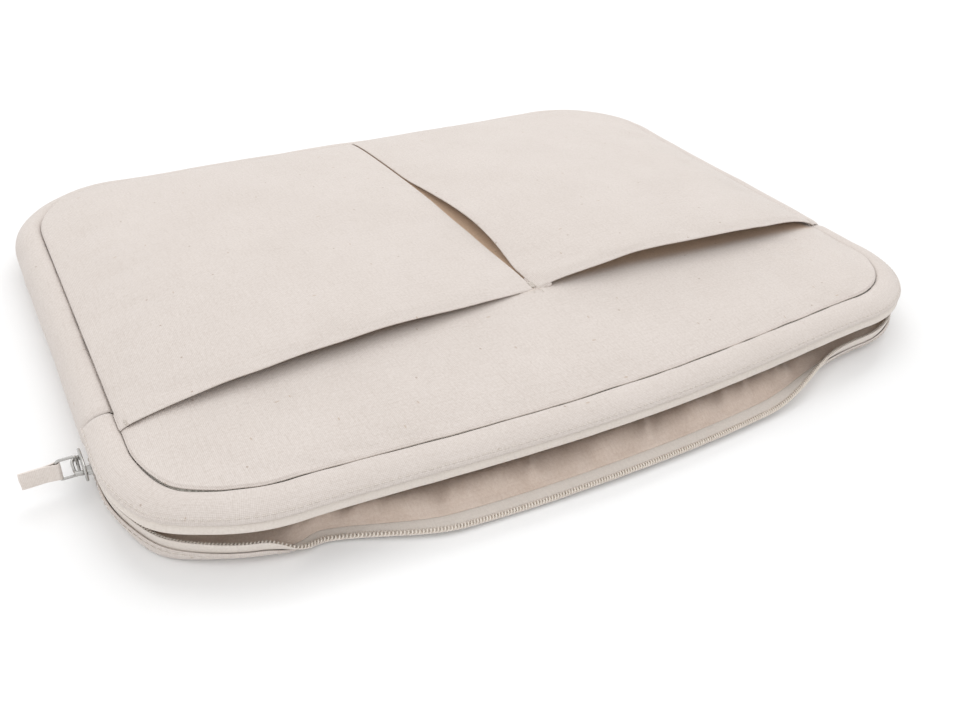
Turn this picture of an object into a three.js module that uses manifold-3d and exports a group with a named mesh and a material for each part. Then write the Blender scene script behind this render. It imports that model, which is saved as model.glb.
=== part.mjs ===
// Padded canvas laptop sleeve for a 15.6-inch computer, lying on its back.
// Millimetres, +Z up. The origin is the centre of the back panel's underside.
// +X runs along the long side, +Y to the closed rear edge, -Y to the zipped mouth.

import * as THREE from 'three';
import { mergeVertices } from 'three/addons/utils/BufferGeometryUtils.js';
import Module from 'manifold-3d';

const wasm = await Module();
wasm.setup();

// Plan: the seam line of the front and back panels is a rectangle with round corners.
const PANEL_HALF_X = 185;
const PANEL_HALF_Y = 136;
const CORNER_R = 46;
const CORNER_X = PANEL_HALF_X - CORNER_R;
const CORNER_Y = PANEL_HALF_Y - CORNER_R;
const CORNER_STEPS = 7;

// Between its corners the front edge bows out a little.
const FRONT_BOW = 8;
const BOW_FROM_Y = -92;
const FRONT_RUN = [-127, -115, -103, -90, -60, -30, 0, 30, 60, 90, 103, 115, 127];

// Heights at the seam line; the front panel is domed above its seam.
const THICKNESS = 22;
const DOME = 7;
const GAP = 0.3;
const CANVAS = 1.0;
const FOAM = 3.0;
const LINING = 0.5;
const MID_Z = THICKNESS / 2;

// Zip: where its two ends are sewn into the rear gusset, and where the lip starts to lift.
const ZIP_END_Y = -66;
const HINGE_Y = -CORNER_Y;
const HINGE_Z = 25;
const LIP_REST_OPEN = THREE.MathUtils.degToRad(4.3);
const LIP_CUT_DEGREES = 0.6;
const LIP_PANEL_GAP = 2.0;

// Lower lip: its section turns up from the seam at the corners, and between them lies out flat.
const LIP_TURN_LENGTH = 15.5;
const LIP_TURN_POWER = 2.4;
const LIP_FLAT_DEGREES = 3;
const LIP_FALL_FROM_X = 132;
const LIP_FALL_RUN = 36;

// Pockets: two panels over the front panel, open at the front and sewn at the other edges.
const POCKET_FRONT_Y = -81;
const POCKET_LIFT = 8;
const POCKET_MARGIN = 4;
const POCKET_HALF_SPLIT = 0.8;

// Zip slider, its link and the folded canvas pull tab on the left side.
const SLIDER_Y = -79;
const SLIDER_HALF_LENGTH = 8;
const SLIDER_HALF_HEIGHT = 4.2;
const INNER_HALF_HEIGHT = 3.4;
const PLATE = 1.0;
const PLATE_INNER_OFFSET = 7.8;
const PLATE_OUTER_OFFSET = 14.4;
const WEB_THICKNESS = 1.4;
const BAIL_AXIS_OFFSET = 16.5;
const LINK_LENGTH = 7;
const LINK_BAR = 1.2;
const LINK_HALF_HEIGHT = 5;
const TAB_LENGTH = 13;
const TAB_WIDTH = 7.6;

const COLOURS = {
  canvas: [0xd9cfc2, 0.95, 0],
  lining: [0xe2d8c8, 0.9, 0],
  foam: [0xf1efe8, 0.95, 0],
  tape: [0xe6e2da, 0.85, 0],
  coil: [0xefece4, 0.5, 0],
  metal: [0xb9bab8, 0.3, 1],
  thread: [0xe8e0d2, 0.85, 0],
};

function material(kind) {
  const [color, roughness, metalness] = COLOURS[kind];
  return new THREE.MeshStandardMaterial({ color, roughness, metalness });
}

function smoothstep(value) {
  return THREE.MathUtils.smoothstep(value, 0, 1);
}

// Moves the front of a body outwards to follow the bowed front edge.
function bowed(geometry) {
  const places = geometry.attributes.position;
  for (let i = 0; i < places.count; i += 1) {
    const across = Math.max(0, 1 - (places.getX(i) / CORNER_X) ** 2) ** 1.5;
    const ahead = smoothstep((BOW_FROM_Y - places.getY(i)) / (PANEL_HALF_Y + BOW_FROM_Y));
    places.setY(i, places.getY(i) - FRONT_BOW * across * ahead);
  }
  return geometry;
}

function add(parent, name, geometry, kind) {
  const mesh = new THREE.Mesh(bowed(geometry), material(kind));
  mesh.name = name;
  parent.add(mesh);
  return mesh;
}

// --- closed bodies from points -------------------------------------------------

function signedVolume(points, faces) {
  let sum = 0;
  for (let i = 0; i < faces.length; i += 3) {
    const [a, b, c] = [points[faces[i]], points[faces[i + 1]], points[faces[i + 2]]];
    sum += new THREE.Vector3().crossVectors(b, c).dot(a);
  }
  return sum / 6;
}

function closedBody(points, faces) {
  const outward = signedVolume(points, faces) > 0 ? faces : faces.slice().reverse();
  const geometry = new THREE.BufferGeometry().setFromPoints(points);
  geometry.setIndex(outward);
  geometry.computeVertexNormals();
  return geometry;
}

// --- the plan outline ----------------------------------------------------------

function station(x, y, degrees) {
  const angle = THREE.MathUtils.degToRad(degrees);
  return { x, y, outX: Math.cos(angle), outY: Math.sin(angle) };
}

function corner(centreX, centreY, fromDegrees, toDegrees) {
  const stations = [];
  for (let i = 0; i <= CORNER_STEPS; i += 1) {
    const degrees = fromDegrees + ((toDegrees - fromDegrees) * i) / CORNER_STEPS;
    const spot = station(0, 0, degrees);
    const x = centreX + CORNER_R * spot.outX;
    const y = centreY + CORNER_R * spot.outY;
    stations.push(station(x, y, degrees));
  }
  return stations;
}

function leftSide(y) {
  return station(-PANEL_HALF_X, y, 180);
}

function rightSide(y) {
  return station(PANEL_HALF_X, y, 0);
}

function frontRun() {
  return FRONT_RUN.map((x) => station(x, -PANEL_HALF_Y, 270));
}

// Along the zip: left side, front edge, right side.
function zipPath() {
  const end = ZIP_END_Y - GAP;
  return [
    leftSide(end),
    ...corner(-CORNER_X, -CORNER_Y, 180, 270),
    ...frontRun(),
    ...corner(CORNER_X, -CORNER_Y, 270, 360),
    rightSide(end),
  ];
}

// The part of the zip that lifts with the lip.
function lipPath() {
  return [
    ...corner(-CORNER_X, -CORNER_Y, 180 + LIP_CUT_DEGREES, 270),
    ...frontRun(),
    ...corner(CORNER_X, -CORNER_Y, 270, 360 - LIP_CUT_DEGREES),
  ];
}

// Round the closed rear, from the right side at one y to the left side at the same y.
function rearPath(endY) {
  return [
    rightSide(endY),
    ...corner(CORNER_X, CORNER_Y, 0, 90),
    ...corner(-CORNER_X, CORNER_Y, 90, 180),
    leftSide(endY),
  ];
}

function wholePath() {
  return [
    ...corner(-CORNER_X, -CORNER_Y, 180, 270),
    ...frontRun(),
    ...corner(CORNER_X, -CORNER_Y, 270, 360),
    ...corner(CORNER_X, CORNER_Y, 0, 90),
    ...corner(-CORNER_X, CORNER_Y, 90, 180),
  ];
}

// Short fixed ends of the zip beside the lip.
function endPath(side) {
  return [side(ZIP_END_Y - GAP), side(HINGE_Y + GAP)];
}

// --- a section carried along the outline ---------------------------------------

// Triangles filling a section, each wound the same way round as the section itself.
function capTriangles(section) {
  const flat = section.map(([out, z]) => new THREE.Vector2(out, z));
  const sectionArea = THREE.ShapeUtils.area(flat);
  return THREE.ShapeUtils.triangulateShape(flat, []).map(([a, b, c]) => {
    const area = THREE.ShapeUtils.area([flat[a], flat[b], flat[c]]);
    return area * sectionArea > 0 ? [a, b, c] : [c, b, a];
  });
}

// The section's points are [outward distance from the seam line, height]; shapeAt may change
// them from station to station.
function sweep(section, path, loop = false, shapeAt = () => section) {
  const points = [];
  for (const at of path) {
    for (const [out, z] of shapeAt(section, at)) {
      points.push(new THREE.Vector3(at.x + at.outX * out, at.y + at.outY * out, z));
    }
  }
  const count = section.length;
  const faces = [];
  const spans = loop ? path.length : path.length - 1;
  for (let i = 0; i < spans; i += 1) {
    const here = i * count;
    const next = ((i + 1) % path.length) * count;
    for (let j = 0; j < count; j += 1) {
      const k = (j + 1) % count;
      faces.push(here + j, here + k, next + k);
      faces.push(here + j, next + k, next + j);
    }
  }
  if (!loop) {
    const last = (path.length - 1) * count;
    for (const [a, b, c] of capTriangles(shapeAt(section, path[0]))) {
      faces.push(c, b, a, last + a, last + b, last + c);
    }
  }
  return closedBody(points, faces);
}

function mirrored(section) {
  return section.map(([out, z]) => [out, THICKNESS - z]);
}

// Border strip from the front panel's seam down to the zip, 1 mm canvas.
const STRIP_SECTION = [
  [0.3, 22], [4.5, 21.7], [8.6, 20.4], [11.6, 18.6], [12.9, 16.4],
  [11.9, 16.2], [10.8, 17.9], [8.1, 19.5], [4.2, 20.7], [0.3, 21],
];

// Zip tape, its upper edge tucked behind the border strip.
const TAPE_SECTION = [
  [12.8, 12.9], [12.5, 14.8], [11.5, 16.2], [10.2, 17.6],
  [9.6, 17.1], [10.8, 15.8], [11.7, 14.6], [12, 12.9],
];

// Thin facing inside the border strip, from the panel's lining up to the zip tape.
const FACING_SECTION = [
  [0.3, 17.6], [4, 17.8], [7, 17.3], [9, 16], [9.2, 15.2],
  [8.7, 15.2], [8.5, 15.8], [6.8, 16.8], [4, 17.3], [0.3, 17.1],
];

// One half of the coil, on the tape's free edge.
const COIL_SECTION = [[11.6, 12], [13.2, 12], [13.2, 12.6], [11.6, 12.6]];

// The lower lip's pieces, as [distance along the lip's curve, distance in from it].
const LOWER_STRIP = [
  [0.3, 0], [4.5, 0], [8.8, 0], [12.4, 0], [15.2, 0],
  [15.2, 1], [12.4, 1], [8.8, 1], [4.5, 1], [0.3, 1],
];
const LOWER_TAPE = [
  [18.5, 0.1], [16.6, 0.3], [15.6, 1.3], [12.6, 1.3],
  [12.6, 2], [15.9, 2], [17.2, 1], [18.5, 0.9],
];
const LOWER_FACING = [
  [0.3, 4.4], [4.2, 4.2], [7.6, 3.7], [10.6, 2.9], [12.2, 2.3],
  [12.2, 2.8], [10.4, 3.4], [7.4, 4.2], [4, 4.7], [0.3, 4.9],
];
const LOWER_COIL = [[19.4, -0.4], [19.4, 1.2], [18.8, 1.2], [18.8, -0.4]];

// How far the lip has fallen outwards at a station: 0 stands up, 1 lies out flat.
function fallenAt(at) {
  return smoothstep((LIP_FALL_FROM_X - Math.abs(at.x)) / LIP_FALL_RUN);
}

// The lip's curve starts level at the seam and turns up by the heading at each distance.
function lipPoint([along, inward], fallen) {
  const step = 0.1;
  let [out, z, heading] = [0, 0, 0];
  for (let done = 0; done < along - step / 2; done += step) {
    const share = Math.min(1, (done + step / 2) / LIP_TURN_LENGTH) ** LIP_TURN_POWER;
    heading = THREE.MathUtils.degToRad(THREE.MathUtils.lerp(90 * share, LIP_FLAT_DEGREES, fallen));
    out += step * Math.cos(heading);
    z += step * Math.sin(heading);
  }
  return [out - inward * Math.sin(heading), z + inward * Math.cos(heading)];
}

function lipShape(section, at) {
  return section.map((point) => lipPoint(point, at.outY < -0.999 ? fallenAt(at) : 0));
}

// Rear gusset, one piece of canvas round the closed sides, and its lining.
const GUSSET_UPPER = [[0.3, 22], [4.5, 21.7], [8.6, 20.4], [11.6, 18], [13, 14.5]];
const GUSSET_UPPER_INNER = [[0.3, 21], [4.3, 20.7], [8, 19.5], [10.7, 17.3], [12, 14.2]];
const LINING_UPPER = [[0.3, 20.7], [4.2, 20.4], [7.8, 19.2], [10.4, 17.1], [11.7, 14.1]];
const LINING_UPPER_INNER = [[0.3, 20.2], [4, 19.9], [7.4, 18.8], [10, 16.8], [11.2, 14]];

function channelSection(outer, inner) {
  const outerWall = [...outer, ...mirrored(outer).reverse()];
  const innerWall = [...mirrored(inner), ...inner.slice().reverse()];
  return [...outerWall, ...innerWall];
}

// Binding tape over the seam allowance inside the sleeve.
const BINDING_TOP = 16.6;
const BINDING_SECTION = [
  [-7, BINDING_TOP - 0.8], [-0.5, BINDING_TOP - 0.8], [-0.5, BINDING_TOP], [-7, BINDING_TOP],
];

// --- flat and domed panels -----------------------------------------------------

function flatPanel(zFrom, zTo) {
  const inset = GAP;
  const r = CORNER_R - inset;
  const shape = new THREE.Shape();
  shape.absarc(CORNER_X, CORNER_Y, r, 0, Math.PI / 2, false);
  shape.absarc(-CORNER_X, CORNER_Y, r, Math.PI / 2, Math.PI, false);
  shape.absarc(-CORNER_X, -CORNER_Y, r, Math.PI, 1.5 * Math.PI, false);
  FRONT_RUN.forEach((x) => shape.lineTo(x, -CORNER_Y - r));
  shape.absarc(CORNER_X, -CORNER_Y, r, 1.5 * Math.PI, 2 * Math.PI, false);
  const options = { depth: zTo - zFrom, bevelEnabled: false, curveSegments: CORNER_STEPS };
  return new THREE.ExtrudeGeometry(shape, options).translate(0, 0, zFrom);
}

function domeAt(x, y) {
  return DOME * (1 - (x / PANEL_HALF_X) ** 2) * (1 - (y / PANEL_HALF_Y) ** 2);
}

// Half-width of the panel at one y, following the round corners.
function halfWidthAt(y) {
  const r = CORNER_R - GAP;
  const into = Math.max(0, Math.abs(y) - CORNER_Y);
  return CORNER_X + Math.sqrt(Math.max(0, r * r - into * into));
}

// Rows across a panel: evenly over the straight sides, by angle round the corners.
function rows(fromY, toY) {
  const r = CORNER_R - GAP;
  const values = [];
  for (let i = 0; i <= CORNER_STEPS; i += 1) {
    const reach = CORNER_Y + r * Math.sin((Math.PI / 2) * (i / CORNER_STEPS));
    values.push(reach, -reach);
  }
  for (let y = -CORNER_Y + 30; y < CORNER_Y; y += 30) {
    values.push(y);
  }
  const inside = values.filter((y) => y > fromY + 2 && y < toY - 2);
  return [fromY, ...inside, toY].sort((a, b) => a - b);
}

function evenColumns(count) {
  return Array.from({ length: count + 1 }, (_, i) => i / count);
}

// A sheet of even thickness: rows of points between two edges, topAt gives its upper face.
function sheet({ rowYs, columns, edgesAt, topAt, thickness }) {
  const upper = [];
  const lower = [];
  for (const y of rowYs) {
    const [left, right] = edgesAt(y);
    for (const share of columns) {
      const x = left + (right - left) * share;
      const z = topAt(x, y);
      upper.push(new THREE.Vector3(x, y, z));
      lower.push(new THREE.Vector3(x, y, z - thickness));
    }
  }
  const wide = columns.length;
  const base = upper.length;
  const faces = [];
  for (let j = 0; j + 1 < rowYs.length; j += 1) {
    for (let i = 0; i + 1 < wide; i += 1) {
      const a = j * wide + i;
      const [b, c, d] = [a + 1, a + wide + 1, a + wide];
      faces.push(a, b, c, a, c, d);
      faces.push(base + a, base + c, base + b, base + a, base + d, base + c);
    }
  }
  const rim = rimOf(rowYs.length, wide);
  rim.forEach((here, i) => {
    const next = rim[(i + 1) % rim.length];
    faces.push(here, base + here, base + next, here, base + next, next);
  });
  return closedBody([...upper, ...lower], faces);
}

// Indices round the edge of a grid of points, anticlockwise seen from above.
function rimOf(tall, wide) {
  const rim = [];
  for (let i = 0; i < wide - 1; i += 1) rim.push(i);
  for (let j = 0; j < tall - 1; j += 1) rim.push(j * wide + wide - 1);
  for (let i = wide - 1; i > 0; i -= 1) rim.push((tall - 1) * wide + i);
  for (let j = tall - 1; j > 0; j -= 1) rim.push(j * wide);
  return rim;
}

// One layer of the domed front, topZ being its upper face at the seam.
function frontLayer(fromY, toY, topZ, thickness) {
  return sheet({
    rowYs: rows(fromY, toY),
    columns: evenColumns(10),
    edgesAt: (y) => [-halfWidthAt(y), halfWidthAt(y)],
    topAt: (x, y) => topZ + domeAt(x, y),
    thickness,
  });
}

const PANEL_TOP = THICKNESS;
const PADDING_TOP = PANEL_TOP - CANVAS - GAP;
const FRONT_LINING_TOP = PADDING_TOP - FOAM - GAP;
const REAR_Y = PANEL_HALF_Y - GAP;

function addFrontLayers(parent, suffix, fromY, toY) {
  add(parent, `front_panel${suffix}`, frontLayer(fromY, toY, PANEL_TOP, CANVAS), 'canvas');
  add(parent, `front_padding${suffix}`, frontLayer(fromY, toY, PADDING_TOP, FOAM), 'foam');
  add(parent, `front_lining${suffix}`, frontLayer(fromY, toY, FRONT_LINING_TOP, LINING), 'lining');
}

// --- pockets -------------------------------------------------------------------

const POCKET_COLUMNS = [0, 0.022, 0.07, 0.14, 0.26, 0.42, 0.58, 0.74, 0.86, 0.93, 0.978, 1];

function pocketEdges(side, y) {
  const outer = halfWidthAt(y);
  return side < 0 ? [-outer, -POCKET_HALF_SPLIT] : [POCKET_HALF_SPLIT, outer];
}

// Height of the pocket's upper face: full at its free front edge, nothing at the sewn edges.
function pocketTop(side, x, y) {
  const [left, right] = pocketEdges(side, y);
  const across = (x - left - POCKET_MARGIN) / (right - left - 2 * POCKET_MARGIN);
  const share = THREE.MathUtils.clamp(across, 0, 1);
  const arch = 1 - (2 * share - 1) ** 4;
  const along = (PANEL_HALF_Y - y) / (PANEL_HALF_Y - POCKET_FRONT_Y);
  return PANEL_TOP + domeAt(x, y) + GAP + CANVAS + POCKET_LIFT * arch * along;
}

function pocketPanel(side) {
  return sheet({
    rowYs: rows(POCKET_FRONT_Y, REAR_Y),
    columns: POCKET_COLUMNS,
    edgesAt: (y) => pocketEdges(side, y),
    topAt: (x, y) => pocketTop(side, x, y),
    thickness: CANVAS,
  });
}

// A dense bar of stitches across the end of a pocket mouth.
function addBartack(parent, name, x, width) {
  const length = 4;
  const height = 0.8;
  const y = POCKET_FRONT_Y + length / 2 + 0.5;
  const base = Math.max(pocketTop(-1, -Math.abs(x), y), pocketTop(-1, -Math.abs(x), y - length / 2));
  const bar = add(parent, name, new THREE.BoxGeometry(width, length, height), 'thread');
  bar.position.set(x, y, base + GAP + height / 2);
}

// --- slider, link and tab ------------------------------------------------------

function solid(geometry) {
  const bare = geometry.clone();
  bare.deleteAttribute('normal');
  bare.deleteAttribute('uv');
  const merged = mergeVertices(bare, 1e-4);
  const mesh = new wasm.Mesh({
    numProp: 3,
    vertProperties: new Float32Array(merged.attributes.position.array),
    triVerts: new Uint32Array(merged.index.array),
  });
  return new wasm.Manifold(mesh);
}

function geometryOf(manifold) {
  const mesh = manifold.getMesh();
  const geometry = new THREE.BufferGeometry();
  geometry.setAttribute('position', new THREE.BufferAttribute(mesh.vertProperties, 3));
  geometry.setIndex(new THREE.BufferAttribute(mesh.triVerts, 1));
  geometry.computeVertexNormals();
  return geometry;
}

function outX(offset) {
  return -PANEL_HALF_X - offset;
}

// A box between two outward distances on the left side, centred on the slider.
function sliderBox(offsetFrom, offsetTo, yFrom, yTo, halfHeight) {
  const box = new THREE.BoxGeometry(offsetTo - offsetFrom, yTo - yFrom, 2 * halfHeight);
  return box.translate(outX((offsetFrom + offsetTo) / 2), SLIDER_Y + (yFrom + yTo) / 2, MID_Z);
}

// Slider plate: full height at the leading end, narrower at the tail, with cut corners.
function sliderPlate(offsetFrom, h) {
  const [l, cut] = [SLIDER_HALF_LENGTH, 1.6];
  const tail = h * 0.72;
  const outline = new THREE.Shape([
    new THREE.Vector2(-l, -h + cut), new THREE.Vector2(-l + cut, -h),
    new THREE.Vector2(l * 0.2, -h), new THREE.Vector2(l - cut, -tail),
    new THREE.Vector2(l, -tail + cut), new THREE.Vector2(l, tail - cut),
    new THREE.Vector2(l - cut, tail), new THREE.Vector2(l * 0.2, h),
    new THREE.Vector2(-l + cut, h), new THREE.Vector2(-l, h - cut),
  ]);
  const plate = new THREE.ExtrudeGeometry(outline, { depth: PLATE, bevelEnabled: false });
  const [x, y, z] = [new THREE.Vector3(1, 0, 0), new THREE.Vector3(0, 1, 0), new THREE.Vector3(0, 0, 1)];
  plate.applyMatrix4(new THREE.Matrix4().makeBasis(y, z, x));
  return plate.translate(outX(offsetFrom + PLATE), SLIDER_Y, MID_Z);
}

// The casting: two plates, the web that parts the coils, and a bail for the link.
function sliderBody() {
  const outerFace = PLATE_OUTER_OFFSET + PLATE;
  const barFrom = outerFace + 2.4;
  const barTo = barFrom + 0.9;
  const sink = 0.2;
  const posts = [-4.6, 3.2];
  const postLength = 1.4;
  let body = solid(sliderPlate(PLATE_OUTER_OFFSET, SLIDER_HALF_HEIGHT));
  body = body.add(solid(sliderPlate(PLATE_INNER_OFFSET, INNER_HALF_HEIGHT)));
  const webFrom = PLATE_INNER_OFFSET + PLATE - sink;
  const web = sliderBox(webFrom, PLATE_OUTER_OFFSET + sink, -7.4, -1.5, WEB_THICKNESS / 2);
  body = body.add(solid(web));
  for (const at of posts) {
    body = body.add(solid(sliderBox(outerFace - sink, barTo, at, at + postLength, 1)));
  }
  const bar = sliderBox(barFrom, barTo, posts[0] + sink, posts[1] + postLength - sink, 1);
  return geometryOf(body.add(solid(bar)));
}

// A flat wire ring in the upright plane through the bail.
function pullLink() {
  const [half, bar] = [LINK_HALF_HEIGHT, LINK_BAR];
  const reach = LINK_LENGTH / 2 + bar / 2;
  const ring = rectangle(reach, half);
  ring.holes.push(rectangle(reach - bar, half - bar));
  const link = new THREE.ExtrudeGeometry(ring, { depth: bar, bevelEnabled: false });
  link.rotateX(Math.PI / 2);
  return link.translate(0, bar / 2, 0);
}

function rectangle(halfX, halfY) {
  return new THREE.Shape([
    new THREE.Vector2(-halfX, -halfY), new THREE.Vector2(halfX, -halfY),
    new THREE.Vector2(halfX, halfY), new THREE.Vector2(-halfX, halfY),
  ]);
}

// Canvas folded round the link's outer bar and sewn flat: a loop with a tail towards -X.
function pullTab() {
  const loopR = 1.8;
  const halfThick = 1.0;
  const startAngle = Math.PI - Math.asin(halfThick / loopR);
  const outline = new THREE.Shape();
  outline.moveTo(-TAB_LENGTH, halfThick);
  outline.lineTo(-TAB_LENGTH, -halfThick);
  outline.absarc(0, 0, loopR, -startAngle, startAngle, false);
  outline.closePath();
  const hole = new THREE.Path();
  hole.absarc(0, 0, loopR - 0.7, 0, 2 * Math.PI, true);
  outline.holes.push(hole);
  const options = { depth: TAB_WIDTH, bevelEnabled: false, curveSegments: 8 };
  return new THREE.ExtrudeGeometry(outline, options).translate(0, 0, -TAB_WIDTH / 2);
}

// --- assembly ------------------------------------------------------------------

function addBack(parent) {
  const paddingFrom = CANVAS + GAP;
  const liningFrom = paddingFrom + FOAM + GAP;
  add(parent, 'back_panel', flatPanel(0, CANVAS), 'canvas');
  add(parent, 'back_padding', flatPanel(paddingFrom, paddingFrom + FOAM), 'foam');
  add(parent, 'back_lining', flatPanel(liningFrom, liningFrom + LINING), 'lining');
  add(parent, 'lower_seam_binding', sweep(mirrored(BINDING_SECTION), wholePath(), true), 'tape');
}

function addRear(parent) {
  const gusset = channelSection(GUSSET_UPPER, GUSSET_UPPER_INNER);
  const lining = channelSection(LINING_UPPER, LINING_UPPER_INNER);
  const path = rearPath(ZIP_END_Y + GAP);
  add(parent, 'rear_gusset', sweep(gusset, path), 'canvas');
  add(parent, 'rear_gusset_lining', sweep(lining, path), 'lining');
  add(parent, 'upper_seam_binding', sweep(BINDING_SECTION, rearPath(HINGE_Y + GAP)), 'tape');
}

function addLowerZip(parent) {
  const lowerLip = (section) => sweep(section, zipPath(), false, lipShape);
  add(parent, 'lower_zip_strip', lowerLip(LOWER_STRIP), 'canvas');
  add(parent, 'lower_zip_tape', lowerLip(LOWER_TAPE), 'tape');
  add(parent, 'lower_zip_coil', lowerLip(LOWER_COIL), 'coil');
  add(parent, 'lower_zip_facing', lowerLip(LOWER_FACING), 'lining');
}

function addUpperZipEnds(parent) {
  const sides = { left: leftSide, right: rightSide };
  for (const [name, side] of Object.entries(sides)) {
    add(parent, `upper_strip_${name}_end`, sweep(STRIP_SECTION, endPath(side)), 'canvas');
    add(parent, `upper_tape_${name}_end`, sweep(TAPE_SECTION, endPath(side)), 'tape');
    add(parent, `upper_coil_${name}_end`, sweep(COIL_SECTION, endPath(side)), 'coil');
  }
}

function addPockets(parent) {
  add(parent, 'left_pocket_panel', pocketPanel(-1), 'canvas');
  add(parent, 'right_pocket_panel', pocketPanel(1), 'canvas');
  const tackX = PANEL_HALF_X - 2.6;
  addBartack(parent, 'centre_bartack', 0, 7);
  addBartack(parent, 'left_bartack', -tackX, 3.6);
  addBartack(parent, 'right_bartack', tackX, 3.6);
}

function sleeveBody() {
  const body = new THREE.Group();
  addBack(body);
  addRear(body);
  addLowerZip(body);
  addUpperZipEnds(body);
  addFrontLayers(body, '', HINGE_Y + GAP, REAR_Y);
  addPockets(body);
  return body;
}

// The lip is drawn shut and turned open about the fold line across the front panel.
function upperLip() {
  const lip = new THREE.Group();
  lip.position.set(0, -HINGE_Y, -HINGE_Z);
  addFrontLayers(lip, '_lip', -REAR_Y, HINGE_Y - LIP_PANEL_GAP);
  add(lip, 'upper_zip_strip', sweep(STRIP_SECTION, lipPath()), 'canvas');
  add(lip, 'upper_zip_tape', sweep(TAPE_SECTION, lipPath()), 'tape');
  add(lip, 'upper_zip_coil', sweep(COIL_SECTION, lipPath()), 'coil');
  add(lip, 'upper_zip_facing', sweep(FACING_SECTION, lipPath()), 'lining');
  add(lip, 'upper_seam_binding_lip', sweep(BINDING_SECTION, lipPath()), 'tape');
  const hinge = new THREE.Group();
  hinge.position.set(0, HINGE_Y, HINGE_Z);
  hinge.rotation.x = -LIP_REST_OPEN;
  hinge.add(lip);
  return hinge;
}

function zipPull() {
  const pull = new THREE.Group();
  add(pull, 'slider_body', sliderBody(), 'metal');
  const link = add(pull, 'pull_link', pullLink(), 'metal');
  link.position.set(outX(BAIL_AXIS_OFFSET + LINK_LENGTH / 2), SLIDER_Y, MID_Z);
  const tab = add(pull, 'pull_tab', pullTab(), 'canvas');
  tab.position.set(outX(BAIL_AXIS_OFFSET + LINK_LENGTH), SLIDER_Y, MID_Z);
  return pull;
}

const group = new THREE.Group();
group.add(sleeveBody(), upperLip(), zipPull());

export default group;
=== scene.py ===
import math

import bpy
import numpy as np
from mathutils import Matrix, Vector
from mathutils.bvhtree import BVHTree


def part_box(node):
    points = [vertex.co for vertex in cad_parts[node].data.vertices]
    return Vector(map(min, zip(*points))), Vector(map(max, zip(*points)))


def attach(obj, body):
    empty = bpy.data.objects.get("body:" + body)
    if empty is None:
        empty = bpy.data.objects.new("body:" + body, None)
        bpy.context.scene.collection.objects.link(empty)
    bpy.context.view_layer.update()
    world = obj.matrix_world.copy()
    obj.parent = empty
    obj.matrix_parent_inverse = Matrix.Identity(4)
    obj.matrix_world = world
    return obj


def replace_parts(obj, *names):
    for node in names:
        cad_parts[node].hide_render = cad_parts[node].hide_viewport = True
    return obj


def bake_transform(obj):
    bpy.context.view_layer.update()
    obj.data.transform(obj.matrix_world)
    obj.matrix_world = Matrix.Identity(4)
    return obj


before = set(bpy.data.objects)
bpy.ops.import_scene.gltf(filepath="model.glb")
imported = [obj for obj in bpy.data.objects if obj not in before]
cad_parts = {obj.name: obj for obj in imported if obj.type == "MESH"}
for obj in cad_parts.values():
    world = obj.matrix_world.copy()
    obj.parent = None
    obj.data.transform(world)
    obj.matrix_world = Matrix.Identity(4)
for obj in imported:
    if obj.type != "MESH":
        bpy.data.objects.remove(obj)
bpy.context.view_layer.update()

# Shapes below are worked out in millimetres and scaled to metres when a mesh is made.
MM = 0.001

# --- sizes, from the frame or chosen to match the photograph ---


def box_mm(node):
    """The low and the high corner of a CAD node's box."""
    low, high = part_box(node)
    return np.array(low) / MM, np.array(high) / MM


# The seam line round both panels is a rectangle with round corners.
GAP = 0.3
CORNER_R = 46.0
HALF_X = box_mm("back_panel")[1][0] + GAP
HALF_Y = box_mm("back_panel")[1][1] + GAP
CORE_X = HALF_X - CORNER_R
CORE_Y = HALF_Y - CORNER_R
SEAM_Z = box_mm("rear_gusset")[1][2]
MID_Z = SEAM_Z / 2
FLOOR_GAP = 0.06
ZIP_END_Y = box_mm("rear_gusset")[0][1] - GAP
POCKET_Y = box_mm("left_pocket_panel")[0][1]

# The fold line that the upper lip turns about, and how far it is open at rest.
HINGE_Y = -CORE_Y
HINGE_Z = 25.0
FOLD_HALF = 7.0
REST_OPEN = math.radians(4.3)

# The front edge bows forward between its corners, and the near left corner is a little fuller.
FRONT_BOW = 8.0
BOW_FROM_Y = -92.0
CORNER_PUSH = (-1.6, -2.4)
CORNER_SPOT = (-180.0, -122.0)
CORNER_SPREAD = (16.0, 14.0)

# The lower lip falls outwards from a place across, over a length, at each side.
LEFT_FALL = (-151.0, 20.0)
RIGHT_FALL = (138.0, 74.0)
LEFT_TUCK = 14.5
TUCK_FROM_X = -143.0
TUCK_LENGTH = 58.0
LIP_SPREAD = 0.3
LIP_TURN_LENGTH = 15.5
LIP_TURN_POWER = 2.4
LIP_FLAT_DEGREES = 3.0

# Places of the metal parts and the tab.
SLIDER_LOW, SLIDER_HIGH = box_mm("slider_body")
SLIDER_Y = (SLIDER_LOW[1] + SLIDER_HIGH[1]) / 2
LINK_LOW, LINK_HIGH = box_mm("pull_link")
TAB_LOW, TAB_HIGH = box_mm("pull_tab")

# Thickness of each cloth.
CANVAS_THICK = 0.9
POCKET_THICK = 0.8
BINDING_THICK = 0.7
TAPE_THICK = 0.5
TAB_THICK = 0.45
LINING_THICK = 0.4
FACING_THICK = 0.35

# The cloth simulation: spare is how much longer the cloth is than its drawn shape, and the
# cap is the furthest that a point moves.
SIM_PRESSURE = 4.0
SIM_SPARE = 0.012
SIM_CAP = 1.6
SIM_FRAMES = 20

# --- smooth noise and small helpers ---


def smoothstep(x):
    t = np.clip(x, 0.0, 1.0)
    return t * t * (3 - 2 * t)


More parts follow.
